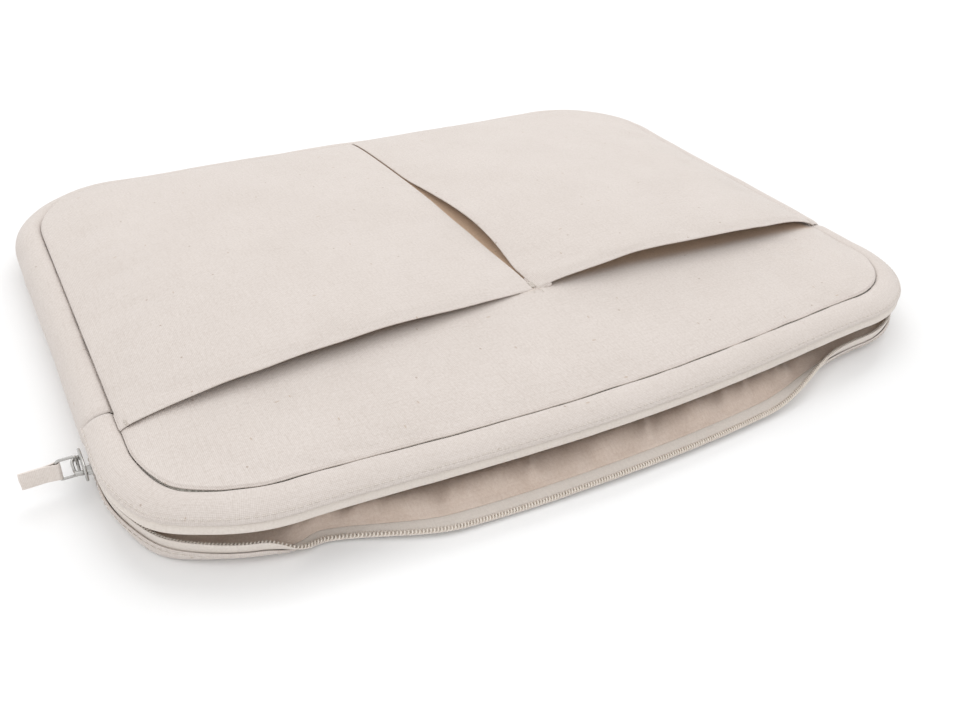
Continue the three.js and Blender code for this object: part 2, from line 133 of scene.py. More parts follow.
def noise(u, v, size, seed):
    """Smooth noise from -1 to 1 with features about size across."""
    table = np.random.default_rng(seed).uniform(-1, 1, (128, 128))
    u = np.asarray(u, float) / size + 41.3
    v = np.asarray(v, float) / size + 27.7
    i, j = np.floor(u).astype(int), np.floor(v).astype(int)
    a, b = u - i, v - j
    a, b = a * a * (3 - 2 * a), b * b * (3 - 2 * b)
    i, j, k, m = i % 128, j % 128, (i + 1) % 128, (j + 1) % 128
    low = table[i, j] * (1 - a) + table[k, j] * a
    high = table[i, m] * (1 - a) + table[k, m] * a
    return low * (1 - b) + high * b


def bump(x, centre, width):
    """A round hump, 1 at its centre."""
    return np.exp(-(((x - centre) / width) ** 2))


def inside_distance(x, y):
    """Distance in from the seam line, positive inside it."""
    qx, qy = np.abs(x) - CORE_X, np.abs(y) - CORE_Y
    outside = np.hypot(np.maximum(qx, 0), np.maximum(qy, 0))
    return CORNER_R - outside - np.minimum(np.maximum(qx, qy), 0)


def bowed(points):
    """Moves the front outwards to follow the front edge, which bows between its corners."""
    p = np.array(points, float)
    across = np.clip(1 - (p[:, 0] / CORE_X) ** 2, 0, 1) ** 1.5
    ahead = smoothstep((BOW_FROM_Y - p[:, 1]) / (HALF_Y + BOW_FROM_Y))
    p[:, 1] -= FRONT_BOW * across * ahead
    corner = 1.0
    for axis in (0, 1):
        corner = corner * bump(p[:, axis], CORNER_SPOT[axis], CORNER_SPREAD[axis])
    for axis in (0, 1):
        p[:, axis] += CORNER_PUSH[axis] * corner
    return p


def open_lip(points):
    """The lip's resting lift: a turn about the fold line, growing smoothly across it."""
    p = bowed(points)
    share = smoothstep((HINGE_Y + FOLD_HALF - p[:, 1]) / (2 * FOLD_HALF))
    angle = REST_OPEN * share
    y, z = p[:, 1] - HINGE_Y, p[:, 2] - HINGE_Z
    p[:, 1] = HINGE_Y + y * np.cos(angle) + z * np.sin(angle)
    p[:, 2] = HINGE_Z - y * np.sin(angle) + z * np.cos(angle)
    return p


# --- meshes ---


def make_object(name, points, faces, cloth, material):
    """A smooth mesh from points in millimetres; cloth holds each point's place on the flat cut."""
    mesh = bpy.data.meshes.new(name)
    mesh.from_pydata((np.asarray(points) * MM).tolist(), [], [list(f) for f in faces])
    mesh.update()
    flat = np.zeros((len(mesh.vertices), 3), np.float32)
    flat[:, : np.shape(cloth)[1]] = np.asarray(cloth) * MM
    attribute = mesh.attributes.new("cloth", "FLOAT_VECTOR", "POINT")
    attribute.data.foreach_set("vector", flat.ravel())
    mesh.polygons.foreach_set("use_smooth", [True] * len(mesh.polygons))
    mesh.materials.append(material)
    obj = bpy.data.objects.new(name, mesh)
    bpy.context.scene.collection.objects.link(obj)
    return obj


def as_cloth(obj, thickness, offset=-1.0):
    """Gives cloth its thickness, under the drawn side unless offset says otherwise, and rounds it."""
    solid = obj.modifiers.new("thickness", "SOLIDIFY")
    solid.thickness = thickness * MM
    solid.offset = offset
    solid.use_even_offset = False
    rounding = obj.modifiers.new("smooth", "SUBSURF")
    rounding.levels = 1
    rounding.render_levels = 1
    return obj


def settle(obj, sewn, share=1.0):
    """Swells the cloth a little between its sewn points, by simulation, and keeps the result.

    share scales each point's move.
    """
    group = obj.vertex_groups.new(name="sewn")
    group.add([int(i) for i in np.flatnonzero(sewn)], 1.0, "REPLACE")
    modifier = obj.modifiers.new("cloth", "CLOTH")
    settings = modifier.settings
    settings.quality = 5
    settings.mass = 0.2
    settings.tension_stiffness = settings.compression_stiffness = 18
    settings.shear_stiffness = 6
    settings.bending_stiffness = 0.4
    settings.air_damping = 3
    settings.vertex_group_mass = "sewn"
    settings.shrink_min = -SIM_SPARE
    settings.use_pressure = True
    settings.uniform_pressure_force = SIM_PRESSURE
    settings.effector_weights.gravity = 0
    modifier.collision_settings.use_collision = False
    modifier.point_cache.frame_start = 1
    modifier.point_cache.frame_end = SIM_FRAMES
    for step in range(1, SIM_FRAMES + 1):
        bpy.context.scene.frame_set(step)
    evaluated = obj.evaluated_get(bpy.context.evaluated_depsgraph_get())
    moved = np.array([v.co[:] for v in evaluated.data.vertices])
    start = np.array([v.co[:] for v in obj.data.vertices])
    move = moved - start
    move[:, 2] = np.maximum(move[:, 2], 0)
    size = np.linalg.norm(move, axis=1) / (SIM_CAP * MM)
    move *= (np.tanh(size) / np.maximum(size, 1e-6))[:, None] * np.reshape(share, (-1, 1))
    obj.modifiers.remove(modifier)
    obj.vertex_groups.remove(group)
    obj.data.vertices.foreach_set("co", (start + move).ravel())
    obj.data.update()
    bpy.context.scene.frame_set(1)


def grid_faces(tall, wide, flip=False, closed=False):
    """Quads over a grid of points, row after row; a closed grid's rows end where they start."""
    faces = []
    for j in range(tall - 1):
        for i in range(wide if closed else wide - 1):
            a, b = j * wide + i, j * wide + (i + 1) % wide
            quad = (a, b, b + wide, a + wide)
            faces.append(quad[::-1] if flip else quad)
    return faces


def tube_faces(rings, sides, closed=False):
    """Quads round a row of rings of points, with a flat face at both ends unless it is closed."""
    faces = []
    for i in range(rings if closed else rings - 1):
        j = (i + 1) % rings
        for k in range(sides):
            m = (k + 1) % sides
            faces.append((i * sides + k, i * sides + m, j * sides + m, j * sides + k))
    if not closed:
        faces.append(tuple(range(sides))[::-1])
        faces.append(tuple((rings - 1) * sides + k for k in range(sides)))
    return faces


def seam_disc(columns, rows, corner_steps, reaches):
    """Points over the panel: a grid on the core rectangle and rings out to the seam.

    reaches are distances out from the core rectangle. Gives x, y and faces seen from above.
    """
    xs = np.linspace(-CORE_X, CORE_X, columns + 1)
    ys = np.linspace(-CORE_Y, CORE_Y, rows + 1)
    points = [(x, y) for y in ys for x in xs]
    wide = columns + 1
    faces = grid_faces(rows + 1, wide)

    def index(i, j):
        return j * wide + i

    stations = []
    sides = [
        ([index(columns, j) for j in range(rows + 1)], 0.0),
        ([index(i, rows) for i in range(columns, -1, -1)], 90.0),
        ([index(0, j) for j in range(rows, -1, -1)], 180.0),
        ([index(i, 0) for i in range(columns + 1)], 270.0),
    ]
    for vertices, degrees in sides:
        stations += [(v, degrees) for v in vertices]
        for step in range(1, corner_steps):
            stations.append((vertices[-1], degrees + 90.0 * step / corner_steps))
    core = [v for v, _ in stations]
    anchor = np.array([points[v] for v in core])
    angle = np.radians([d for _, d in stations])
    out = np.column_stack([np.cos(angle), np.sin(angle)])
    count = len(stations)
    previous = core
    for reach in reaches:
        base = len(points)
        points += [tuple(p) for p in anchor + out * reach]
        ring = list(range(base, base + count))
        for s in range(count):
            t = (s + 1) % count
            if previous[s] == previous[t]:
                faces.append((previous[s], ring[s], ring[t]))
            else:
                faces.append((previous[s], ring[s], ring[t], previous[t]))
        previous = ring
    xy = np.array(points)
    return xy[:, 0], xy[:, 1], faces


# --- the outline, as stations with an outward direction and a running length ---

SIDE_MIDDLE = 10.0


def run_length(points):
    """Length along a line of points, from 0 at the first."""
    return np.concatenate([[0], np.cumsum(np.linalg.norm(np.diff(points, axis=0), axis=1))])


def outline(y_end, spacing=2.5, rear=False):
    """Stations along the seam line: round the front, or round the rear, anticlockwise.

    y_end is where both ends are. Gives places, outward directions and the running length,
    which is measured at the side's middle.
    """
    turn = math.pi * CORNER_R / 2
    steps = max(6, round(turn / spacing))

    def line(x0, y0, x1, y1, degrees):
        count = max(1, round((abs(x1 - x0) + abs(y1 - y0)) / spacing))
        places = zip(np.linspace(x0, x1, count + 1), np.linspace(y0, y1, count + 1))
        return [(x, y, degrees) for x, y in places]

    def arc(cx, cy, start):
        angles = start + 90.0 * np.arange(1, steps) / steps
        radians = np.radians(angles)
        return list(zip(cx + CORNER_R * np.cos(radians), cy + CORNER_R * np.sin(radians), angles))

    if rear:
        spots = line(HALF_X, y_end, HALF_X, CORE_Y, 0.0) + arc(CORE_X, CORE_Y, 0)
        spots += line(CORE_X, HALF_Y, -CORE_X, HALF_Y, 90.0) + arc(-CORE_X, CORE_Y, 90)
        spots += line(-HALF_X, CORE_Y, -HALF_X, y_end, 180.0)
    else:
        spots = line(-HALF_X, y_end, -HALF_X, -CORE_Y, 180.0) + arc(-CORE_X, -CORE_Y, 180)
        spots += line(-CORE_X, -HALF_Y, CORE_X, -HALF_Y, 270.0) + arc(CORE_X, -CORE_Y, 270)
        spots += line(HALF_X, -CORE_Y, HALF_X, y_end, 360.0)
    spots = np.array(spots, float)
    radians = np.radians(spots[:, 2])
    out = np.column_stack([np.cos(radians), np.sin(radians)])
    return spots[:, :2], out, run_length(spots[:, :2] + out * SIDE_MIDDLE)


def ribbon(path, section, ripple=None):
    """A band along the outline. section is [outward distance, height]; ripple moves points.

    ripple(length, share) gives how far each point moves along the band's own normal.
    Gives points, flat cloth places and the band's row and column counts.
    """
    at, out, length = path
    section = np.array(section, float)
    along = run_length(section)
    tangent = np.gradient(section, axis=0)
    normal = np.column_stack([-tangent[:, 1], tangent[:, 0]])
    normal /= np.linalg.norm(normal, axis=1)[:, None]
    share = along / along[-1]
    points, cloth = [], []
    for j in range(len(section)):
        shift = ripple(length, share[j]) if ripple else np.zeros(len(length))
        offset = section[j, 0] + normal[j, 0] * shift
        height = section[j, 1] + normal[j, 1] * shift
        xy = at + out * offset[:, None]
        points.append(np.column_stack([xy, np.maximum(height, FLOOR_GAP)]))
        cloth.append(np.column_stack([length, np.full(len(length), along[j])]))
    return np.vstack(points), np.vstack(cloth), len(section), len(length)


def resample(section, count):
    """A smooth open curve through the section's points, with count points on it."""
    p = np.array(section, float)
    t = run_length(p)
    m = np.gradient(p, t, axis=0)
    s = np.linspace(0, t[-1], count)
    k = np.clip(np.searchsorted(t, s, side="right") - 1, 0, len(t) - 2)
    h = (t[k + 1] - t[k])[:, None]
    u = ((s - t[k]) / (t[k + 1] - t[k]))[:, None]
    return (
        (2 * u**3 - 3 * u**2 + 1) * p[k] + (u**3 - 2 * u**2 + u) * h * m[k]
        + (-2 * u**3 + 3 * u**2) * p[k + 1] + (u**3 - u**2) * h * m[k + 1]
    )


# --- materials ---


class Nodes:
    """A short way to write a material's node tree."""

    def __init__(self, name):
        self.material = bpy.data.materials.new(name)
        self.material.use_nodes = True
        self.tree = self.material.node_tree
        self.shader = self.tree.nodes["Principled BSDF"]

    def add(self, kind, inputs=None, **settings):
        node = self.tree.nodes.new(kind)
        for key, value in settings.items():
            setattr(node, key, value)
        for key, value in (inputs or {}).items():
            self.feed(node.inputs[key], value)
        return node

    def feed(self, socket, value):
        if isinstance(value, bpy.types.NodeSocket):
            self.tree.links.new(value, socket)
        else:
            socket.default_value = value

    def math(self, operation, a, b=0.0, clamp=False):
        inputs = {0: a, 1: b}
        return self.add("ShaderNodeMath", inputs, operation=operation, use_clamp=clamp).outputs[0]

    def vector(self, operation, a, b):
        return self.add("ShaderNodeVectorMath", {0: a, 1: b}, operation=operation).outputs[0]

    def cloth_place(self):
        """The place on the cloth's flat cut."""
        return self.add("ShaderNodeAttribute", attribute_name="cloth").outputs["Vector"]

    def between(self, value, low, high):
        """0 below low and 1 above high."""
        inputs = {"Value": value, "From Min": low, "From Max": high}
        return self.add("ShaderNodeMapRange", inputs).outputs[0]

    def noise(self, vector, scale, detail=2.0, stretch=(1, 1, 1)):
        mapped = self.add("ShaderNodeMapping", {"Vector": vector, "Scale": stretch}).outputs[0]
        node = self.add("ShaderNodeTexNoise", {"Vector": mapped, "Scale": scale, "Detail": detail})
        return node.outputs["Fac"]

    def plus(self, base, layer, amount):
        """base with amount times layer added, up to 1."""
        return self.math("ADD", base, self.math("MULTIPLY", layer, amount), clamp=True)

    def mix(self, share, a, b):
        """The colour a where share is 0 and the colour b where it is 1."""
        return self.add("ShaderNodeMix", {0: share, 6: a, 7: b}, data_type="RGBA").outputs[2]

    def set(self, **values):
        """Sets or links inputs of the shader."""
        for key, value in values.items():
            self.feed(self.shader.inputs[key.replace("_", " ")], value)

    def bumps(self, *layers):
        """Adds bump layers, each (height, strength, distance in metres), one over the other."""
        normal = None
        for height, strength, distance in layers:
            inputs = {"Height": height, "Strength": strength, "Distance": distance}
            if normal is not None:
                inputs["Normal"] = normal
            normal = self.add("ShaderNodeBump", inputs).outputs[0]
        self.set(Normal=normal)


def linear(r, g, b):
    """An sRGB colour of 0 to 255 as linear values."""
    values = [c / 255 for c in (r, g, b)]
    return (*[c / 12.92 if c <= 0.04045 else ((c + 0.055) / 1.055) ** 2.4 for c in values], 1.0)


# Painted shade: the warm, darker tint multiplied into canvas that lies in the shade under the pockets.
POCKET_SHADE_TINT = (0.93, 0.74, 0.56)


def woven(name, light, dark, pitch, flecks=0.0, weave=0.6, sheen=0.25, mottle=0.5, crumple_and_crease_shade=0.0):
    """Plain weave cloth. pitch is the distance from thread to thread, in millimetres.

    The third number of the cloth's place says how far the point lies in the shade under the pockets, from 0
    to 1, and so how much painted shade it gets.
    """
    n = Nodes(name)
    place = n.cloth_place()
    wobble = n.add("ShaderNodeTexNoise", {"Vector": place, "Scale": 220.0, "Detail": 1.0})
    centred = n.vector("SUBTRACT", wobble.outputs["Color"], (0.5, 0.5, 0.5))
    inputs = {0: centred, "Scale": 0.35 * pitch * MM}
    small = n.add("ShaderNodeVectorMath", inputs, operation="SCALE").outputs[0]
    warped = n.vector("ADD", place, small)
    split = n.add("ShaderNodeSeparateXYZ", {0: warped})
    turn = math.pi / (pitch * MM)
    warp = n.math("SINE", n.math("MULTIPLY", split.outputs[0], turn))
    weft = n.math("SINE", n.math("MULTIPLY", split.outputs[1], turn))
    over = n.between(n.math("MULTIPLY", warp, weft), -0.25, 0.25)
    upper = n.math("MULTIPLY", n.math("ABSOLUTE", warp), over)
    lower = n.math("MULTIPLY", n.math("ABSOLUTE", weft), n.math("SUBTRACT", 1.0, over))
    threads = n.math("ADD", upper, lower)
    slub_warp = n.noise(place, 1.0, 2.0, (1400, 90, 1))
    slub_weft = n.noise(place, 1.0, 2.0, (90, 1400, 1))
    slubs = n.math("MAXIMUM", slub_warp, slub_weft)
    fuzz = n.noise(place, 2600.0, 3.0)
    wrinkles = n.noise(place, 80.0)
    shade = n.math("MULTIPLY", n.math("SUBTRACT", 1.0, threads), weave)
    shade = n.plus(shade, n.between(slubs, 0.5, 0.75), 0.16)
    shade = n.plus(shade, n.between(n.noise(place, 26.0, 3.0), 0.35, 0.65), mottle * 0.35)
    shade = n.plus(shade, n.between(n.noise(place, 900.0), 0.35, 0.7), 0.22)
    shade = n.plus(shade, n.between(fuzz, 0.3, 0.7), 0.2)
    # Painted shade: where the wrinkle noise dips, the hollows of the creases are coloured darker; the same
    # noise also bumps the surface.
    if crumple_and_crease_shade:
        shade = n.plus(shade, n.between(wrinkles, 0.6, 0.35), 0.5 * crumple_and_crease_shade)
    colour = n.mix(shade, light, dark)
    # Painted shade: canvas under the pockets is darkened and warmed by the third number of its place.
    in_shade = n.add("ShaderNodeSeparateXYZ", {0: place}).outputs[2]
    pocket_shade = n.math("MULTIPLY", in_shade, 1 / MM, clamp=True)
    colour = n.mix(pocket_shade, colour, n.vector("MULTIPLY", colour, POCKET_SHADE_TINT))
    if flecks:
        colour = add_flecks(n, place, colour, flecks)
    n.set(Base_Color=colour, Roughness=0.92, Sheen_Weight=sheen, Sheen_Roughness=0.45)
    n.set(Specular_IOR_Level=0.15)
    n.bumps(
        (threads, 0.55, 0.16 * pitch * MM),
        (slubs, 0.35, 0.10 * MM),
        (fuzz, 0.25, 0.04 * MM),
        (n.noise(place, 240.0), 0.3, 0.25 * MM),
        (wrinkles, 0.8 * crumple_and_crease_shade, 2.0 * MM),
    )
    return n.material


# Kinds of fleck: cells per metre, stretch, size and share of the cells, colour.
FLECKS = [
    (38.0, (1, 1, 1), 0.022, 0.34, linear(140, 112, 88)),
    (96.0, (1.0, 0.4, 1), 0.04, 0.10, linear(172, 148, 124)),
    (88.0, (0.35, 1.0, 1), 0.04, 0.10, linear(180, 156, 132)),
]


def add_flecks(n, place, colour, amount):
    """Seed husks in unbleached cotton: a few tiny brown specks and short dark fibres."""
    for scale, stretch, size, share, tint in FLECKS:
        mapped = n.add("ShaderNodeMapping", {"Vector": place, "Scale": stretch}).outputs[0]
        cells = n.add("ShaderNodeTexVoronoi", {"Vector": mapped, "Scale": scale}, voronoi_dimensions="2D")
        chosen = n.add("ShaderNodeSeparateColor", {0: cells.outputs["Color"]}).outputs[0]
        few = n.math("LESS_THAN", chosen, share)
        spot = n.between(cells.outputs["Distance"], size, size * 0.45)
        mask = n.math("MULTIPLY", n.math("MULTIPLY", few, spot), amount, clamp=True)
        colour = n.mix(mask, colour, tint)
    return colour


def sewing_thread(name, light, dark):
    """Two-ply twisted thread; the twist runs with the thread's own length."""
    n = Nodes(name)
    place = n.cloth_place()
    wave = n.add(
        "ShaderNodeTexWave",
        {"Vector": place, "Scale": 900.0, "Distortion": 1.5, "Detail": 1.0},
        bands_direction="DIAGONAL",
    ).outputs["Fac"]
    n.set(Base_Color=n.mix(wave, dark, light), Roughness=0.7, Sheen_Weight=0.3)
    n.bumps((wave, 0.5, 0.06 * MM))
    return n.material


def nylon(name, light, dark):
    """Smooth monofilament with a little haze."""
    n = Nodes(name)
    place = n.cloth_place()
    haze = n.noise(place, 500.0, 3.0)
    n.set(Base_Color=n.mix(n.between(haze, 0.3, 0.7), dark, light), Roughness=0.38)
    n.bumps((haze, 0.2, 0.03 * MM))
    return n.material


def plated(name, tint):
    """Polished nickel plate with faint rubbing marks."""
    n = Nodes(name)
    place = n.add("ShaderNodeTexCoord").outputs["Object"]
    rub = n.noise(place, 700.0, 4.0, (1, 0.12, 1))
    cast = n.noise(place, 260.0)
    n.set(Base_Color=tint, Metallic=1.0)
    n.set(Roughness=n.add("ShaderNodeMapRange", {"Value": rub, "To Min": 0.14, "To Max": 0.34}).outputs[0])
    n.bumps((cast, 0.25, 0.08 * MM), (rub, 0.15, 0.02 * MM))
    return n.material


def foam(name, light, dark):
    """Open-celled padding."""
    n = Nodes(name)
    place = n.add("ShaderNodeTexCoord").outputs["Object"]
    cells = n.add("ShaderNodeTexVoronoi", {"Vector": place, "Scale": 1100.0}).outputs["Distance"]
    n.set(Base_Color=n.mix(n.between(cells, 0.1, 0.7), light, dark), Roughness=0.95)
    n.bumps((cells, 0.6, 0.3 * MM))
    return n.material


CANVAS = woven("canvas", linear(229, 221, 216), linear(193, 182, 173), 0.62, flecks=0.5, mottle=0.22)
TAB_CANVAS = woven("tab_canvas", linear(243, 235, 229), linear(212, 201, 192), 0.55, flecks=0.3)
LINING = woven("lining", linear(222, 204, 188), linear(188, 164, 142), 0.34, weave=0.4, mottle=0.4)
# The facing's crumple sets both its wrinkle bump and the painted shade in its crease hollows.
FACING_CLOTH = woven(
    "facing_cloth", linear(234, 220, 209), linear(198, 176, 160), 0.34, weave=0.4, crumple_and_crease_shade=0.35
)
TAPE = woven("zip_tape", linear(236, 228, 220), linear(208, 198, 189), 0.42, weave=0.5, mottle=0.2)
COIL = nylon("zip_coil", linear(240, 231, 221), linear(224, 214, 202))
THREAD = sewing_thread("thread", linear(232, 225, 218), linear(200, 189, 178))
METAL = plated("slider_metal", linear(186, 184, 181))
FOAM = foam("foam", linear(240, 238, 230), linear(206, 202, 192))


# --- heights of the front, drawn with the lip shut ---

DOME = 7.0
PUCKER_SEED = 14
# These keep the gathers of the four quarters of the outline apart.
LEFT_OFFSET = 700.0
FRONT_OFFSET = 1500.0


def around(x, y):
    """Running length round the outline of the point's nearest place on it."""
    qx, qy = np.abs(x) - CORE_X, np.abs(y) - CORE_Y
    turn = np.arctan2(np.maximum(qy, 0), np.maximum(qx, 1e-6)) * CORNER_R
    on_side = CORE_Y + turn
    on_side = np.where((qy <= 0) & (qx >= qy), np.abs(y), on_side)
    on_end = CORE_Y + math.pi / 2 * CORNER_R + CORE_X - np.abs(x)
    length = np.where((qx <= 0) & (qy > qx), on_end, on_side)
    return length + LEFT_OFFSET * (x < 0) + FRONT_OFFSET * (y < 0)


def pucker(x, y, seed):
    """Short gathers that run in from the seam and fade."""
    d = np.maximum(inside_distance(x, y), 0)
    s = around(x, y)
    gathers = 0.32 * noise(s, d * 0.3, 6.5, seed) + 0.22 * noise(s, d * 0.3, 13.0, seed + 1)
    return gathers * np.exp(-d / 9)


def shoulder(d, rise=1.5, depth=0.5, groove=0.7):
    """A padded edge: it rises in from the seam, with a groove at the seam itself."""
    return rise * (1 - np.exp(-np.maximum(d, 0) / 5)) - depth * np.exp(-np.maximum(d, 0) / groove)


# Soft folds in the front canvas: place across, place along, slant, width, length, height.
FOLDS = [
    (-86, -104, 0.25, 3.6, 15, 1.5), (-70, -108, 0.35, 3.2, 13, 1.3), (-56, -101, 0.15, 4.2, 12, 0.9),
    (14, -98, -0.5, 4.5, 12, 1.0), (60, -108, 0.3, 5.0, 14, 0.8), (142, -84, -1.2, 2.6, 8, 1.3),
    (152, -88, -0.9, 2.4, 7, 1.2), (133, -94, -0.6, 3.4, 9, 0.9), (-150, -98, 0.6, 4.0, 10, 0.8),
]


def folds(x, y):
    """Height that the soft folds add."""
    height = 0 * x
    for across, along, slant, width, length, size in FOLDS:
        side = x - across - slant * (y - along)
        height = height + size * bump(side, 0, width) * bump(y, along, length)
    return height


def front_height(x, y):
    """Height of the front canvas with its waves and folds, without its padded edge."""
    dome = DOME * (1 - (x / HALF_X) ** 2) * (1 - (y / HALF_Y) ** 2)
    wave = 0.8 * noise(x, y, 70, 11) + 0.25 * noise(x, y, 22, 12)
    drape = 1.0 * noise(x - 0.35 * y, y * 0.25, 16, 13) * bump(y, POCKET_Y - 20, 22)
    edge = 1 - np.exp(-np.maximum(inside_distance(x, y), 0) / 12)
    held = 2.6 * bump(x, 0.0, 75.0) * bump(y, -66.0, 34.0)
    return SEAM_Z + dome + held + (wave + drape + folds(x, y)) * edge + pucker(x, y, PUCKER_SEED)


# --- canvas panels ---

# Distances of the rings of points out from the core rectangle, closer towards the seam.
RINGS = [3, 6.5, 10, 13.5, 17, 20.5, 24, 27.5, 31, 34, 37, 39.5, 41.5, 43, 44, 44.7, 45.2, 45.6, 45.9]
PAD_RINGS = [6, 12, 18, 24, 30, 36, 40, 43, 44.6, 45.4]
LINING_RINGS = [4, 8, 12, 16, 20, 24, 28, 32, 36, 39, 41.5, 43.5, 45, 45.8]
# How far the front's inner layers lie under its face, and where the back's layers lie.
FRONT_PAD_DEPTH = 2.9
FRONT_LINING_DEPTH = 4.9
BACK_PAD_Z = 2.8
BACK_LINING_Z = 5.0
PAD_HALF = 1.35


def front_canvas():
    x, y, faces = seam_disc(92, 60, 24, RINGS)
    z = front_height(x, y) + shoulder(inside_distance(x, y))
    points = open_lip(np.column_stack([x, y, z]))
    under_pockets = smoothstep((y - POCKET_Y - 6) / 8)
    # Painted shade mask: how much of the pockets' shade is painted into the canvas under them.
    pocket_shade = under_pockets * smoothstep((inside_distance(x, y) - 3) / 5)
    obj = make_object("front_canvas", points, faces, np.column_stack([x, y, pocket_shade]), CANVAS)
    settle(obj, inside_distance(x, y) < 1.2, 0.9 * (1 - under_pockets))
    return as_cloth(obj, CANVAS_THICK)


def back_canvas():
    x, y, faces = seam_disc(60, 40, 20, RINGS)
    d = np.maximum(inside_distance(x, y), 0)
    lift = 0.12 * (1 + noise(x, y, 35, 21)) + 1.6 * np.exp(-d / 0.9) + 0.5 * np.exp(-d / 4)
    lift = lift + np.abs(pucker(x, y, 22))
    faces = [f[::-1] for f in faces]
    points = bowed(np.column_stack([x, y, lift]))
    obj = make_object("back_canvas", points, faces, np.column_stack([x, y]), CANVAS)
    return as_cloth(obj, CANVAS_THICK)


def pad(name, height, open_it):
    """The padding behind a panel: an even soft sheet with a rounded edge."""
    columns, rows, corner_steps = 46, 30, 12
    x, y, faces = seam_disc(columns, rows, corner_steps, PAD_RINGS)
    d = np.maximum(inside_distance(x, y), 0)
    middle = height(x, y)
    half = PAD_HALF * np.sqrt(1 - np.exp(-d / 1.5)) + 0.06 * noise(x, y, 12, 31)
    top = np.column_stack([x, y, middle + half])
    bottom = np.column_stack([x, y, middle - half])
    points = np.vstack([top, bottom])
    count = len(x)
    around_rim = 2 * (columns + rows + 2) + 4 * (corner_steps - 1)
    rim = range(count - around_rim, count)
    both = list(faces) + [tuple(count + v for v in f[::-1]) for f in faces]
    for a, b in zip(rim, [*rim[1:], rim[0]]):
        both.append((a, count + a, count + b, b))
    points = open_lip(points) if open_it else bowed(points)
    return make_object(name, points, both, np.vstack([top[:, :2], bottom[:, :2]]), FOAM)


def front_pad():
    def height(x, y):
        return front_height(x, y) - FRONT_PAD_DEPTH - pucker(x, y, PUCKER_SEED)

    return pad("front_pad", height, True)


def back_pad():
    return pad("back_pad", lambda x, y: BACK_PAD_Z + 0 * x, False)


def lining(name, height, open_it):
    """A panel's lining; the front's faces down."""
    x, y, faces = seam_disc(80, 54, 16, LINING_RINGS)
    points = np.column_stack([x, y, height(x, y)])
    points = open_lip(points) if open_it else bowed(points)
    faces = [f[::-1] for f in faces] if open_it else faces
    obj = make_object(name, points, faces, np.column_stack([x, y]), LINING)
    return as_cloth(obj, LINING_THICK)


def front_lining():
    def height(x, y):
        crease = 0.5 * noise(x, y, 24, 41) + 0.35 * noise(x * 0.5, y, 9, 42)
        hang = 0.45 * (1 + crease) * smoothstep(inside_distance(x, y) / 10)
        return front_height(x, y) - FRONT_LINING_DEPTH - pucker(x, y, PUCKER_SEED) - hang

    return lining("front_lining_cloth", height, True)


def back_lining():
    def height(x, y):
        crease = 0.5 * noise(x, y, 26, 43) + 0.4 * noise(x, y * 0.4, 10, 44)
        return BACK_LINING_Z + 0.6 * (1 + crease) * smoothstep(inside_distance(x, y) / 10)

    return lining("back_lining_cloth", height, False)


# --- border strips, gusset, zip tape ---

# These sections are [distance out from the seam line, height]. The first points are the seam
# allowance, tucked under the panel.
SEAM_ROLL = [(-1.1, 20.2), (-0.4, 20.5), (0.0, 21.0), (0.2, 21.5), (0.9, 21.85), (2.4, 22.1), (4.4, 22.0)]
STRIP = SEAM_ROLL + [
    (6.6, 21.45), (8.8, 20.4), (10.8, 19.0), (12.2, 17.5),
    (12.75, 16.6), (12.7, 16.2), (12.2, 16.35), (11.4, 17.3),
]
GUSSET = SEAM_ROLL + [(6.6, 21.4), (8.9, 20.2), (10.9, 18.3), (12.3, 15.9), (13.0, 13.2), (13.1, 11.0)]
GUSSET_LINING = [(0.2, 20.0), (3.0, 19.9), (6.6, 19.1), (9.2, 17.4), (10.9, 14.6), (11.3, 11.0)]
TAPE_BAND = [(10.3, 17.4), (11.3, 16.3), (11.9, 15.2), (12.2, 14.2), (12.3, 13.2), (12.25, 12.2)]
FACING = [(-0.2, 17.2), (1.4, 17.6), (4.0, 17.6), (6.6, 17.1), (8.4, 16.1), (9.1, 15.3)]

# The lower lip's sections are [distance along the lip's curve, distance in from it].
LOWER_STRIP = [
    (0.2, 1.9), (0.35, 1.1), (1.0, 0.4), (2.4, 0.1), (4.4, 0.1), (6.6, 0.1), (8.8, 0.1),
    (10.8, 0.1), (12.8, 0.15), (14.6, 0.2), (15.3, 0.45), (15.2, 0.85), (14.2, 1.1),
]
LOWER_TAPE = [(12.2, 1.5), (14.0, 1.45), (15.4, 1.2), (16.6, 0.95), (17.8, 0.8), (18.9, 0.7)]
LOWER_FACING = [(-0.2, 4.7), (2.0, 4.8), (5.0, 4.4), (8.0, 3.6), (10.8, 2.7), (13.2, 2.0)]


def whole_side(section):
    """The section and its mirror image below, as one line from the top seam to the bottom one."""
    mirrored = [(out, SEAM_Z - z) for out, z in section]
    return list(section) + mirrored[-2::-1]


def fallen_at(at, out):
    """How far the lower lip has fallen outwards: 0 stands up, 1 lies out flat."""
    left = smoothstep((at[:, 0] - LEFT_FALL[0]) / LEFT_FALL[1])
    right = smoothstep((RIGHT_FALL[0] - at[:, 0]) / RIGHT_FALL[1])
    return left * right * (out[:, 1] < -0.5)


def sagged_at(out):
    """How far the lower lip bulges round the left front corner, low down over the floor."""
    degrees = np.degrees(np.arctan2(-out[:, 1], -out[:, 0]))
    return bump(degrees, 34.0, 20.0) * (out[:, 0] < 0)


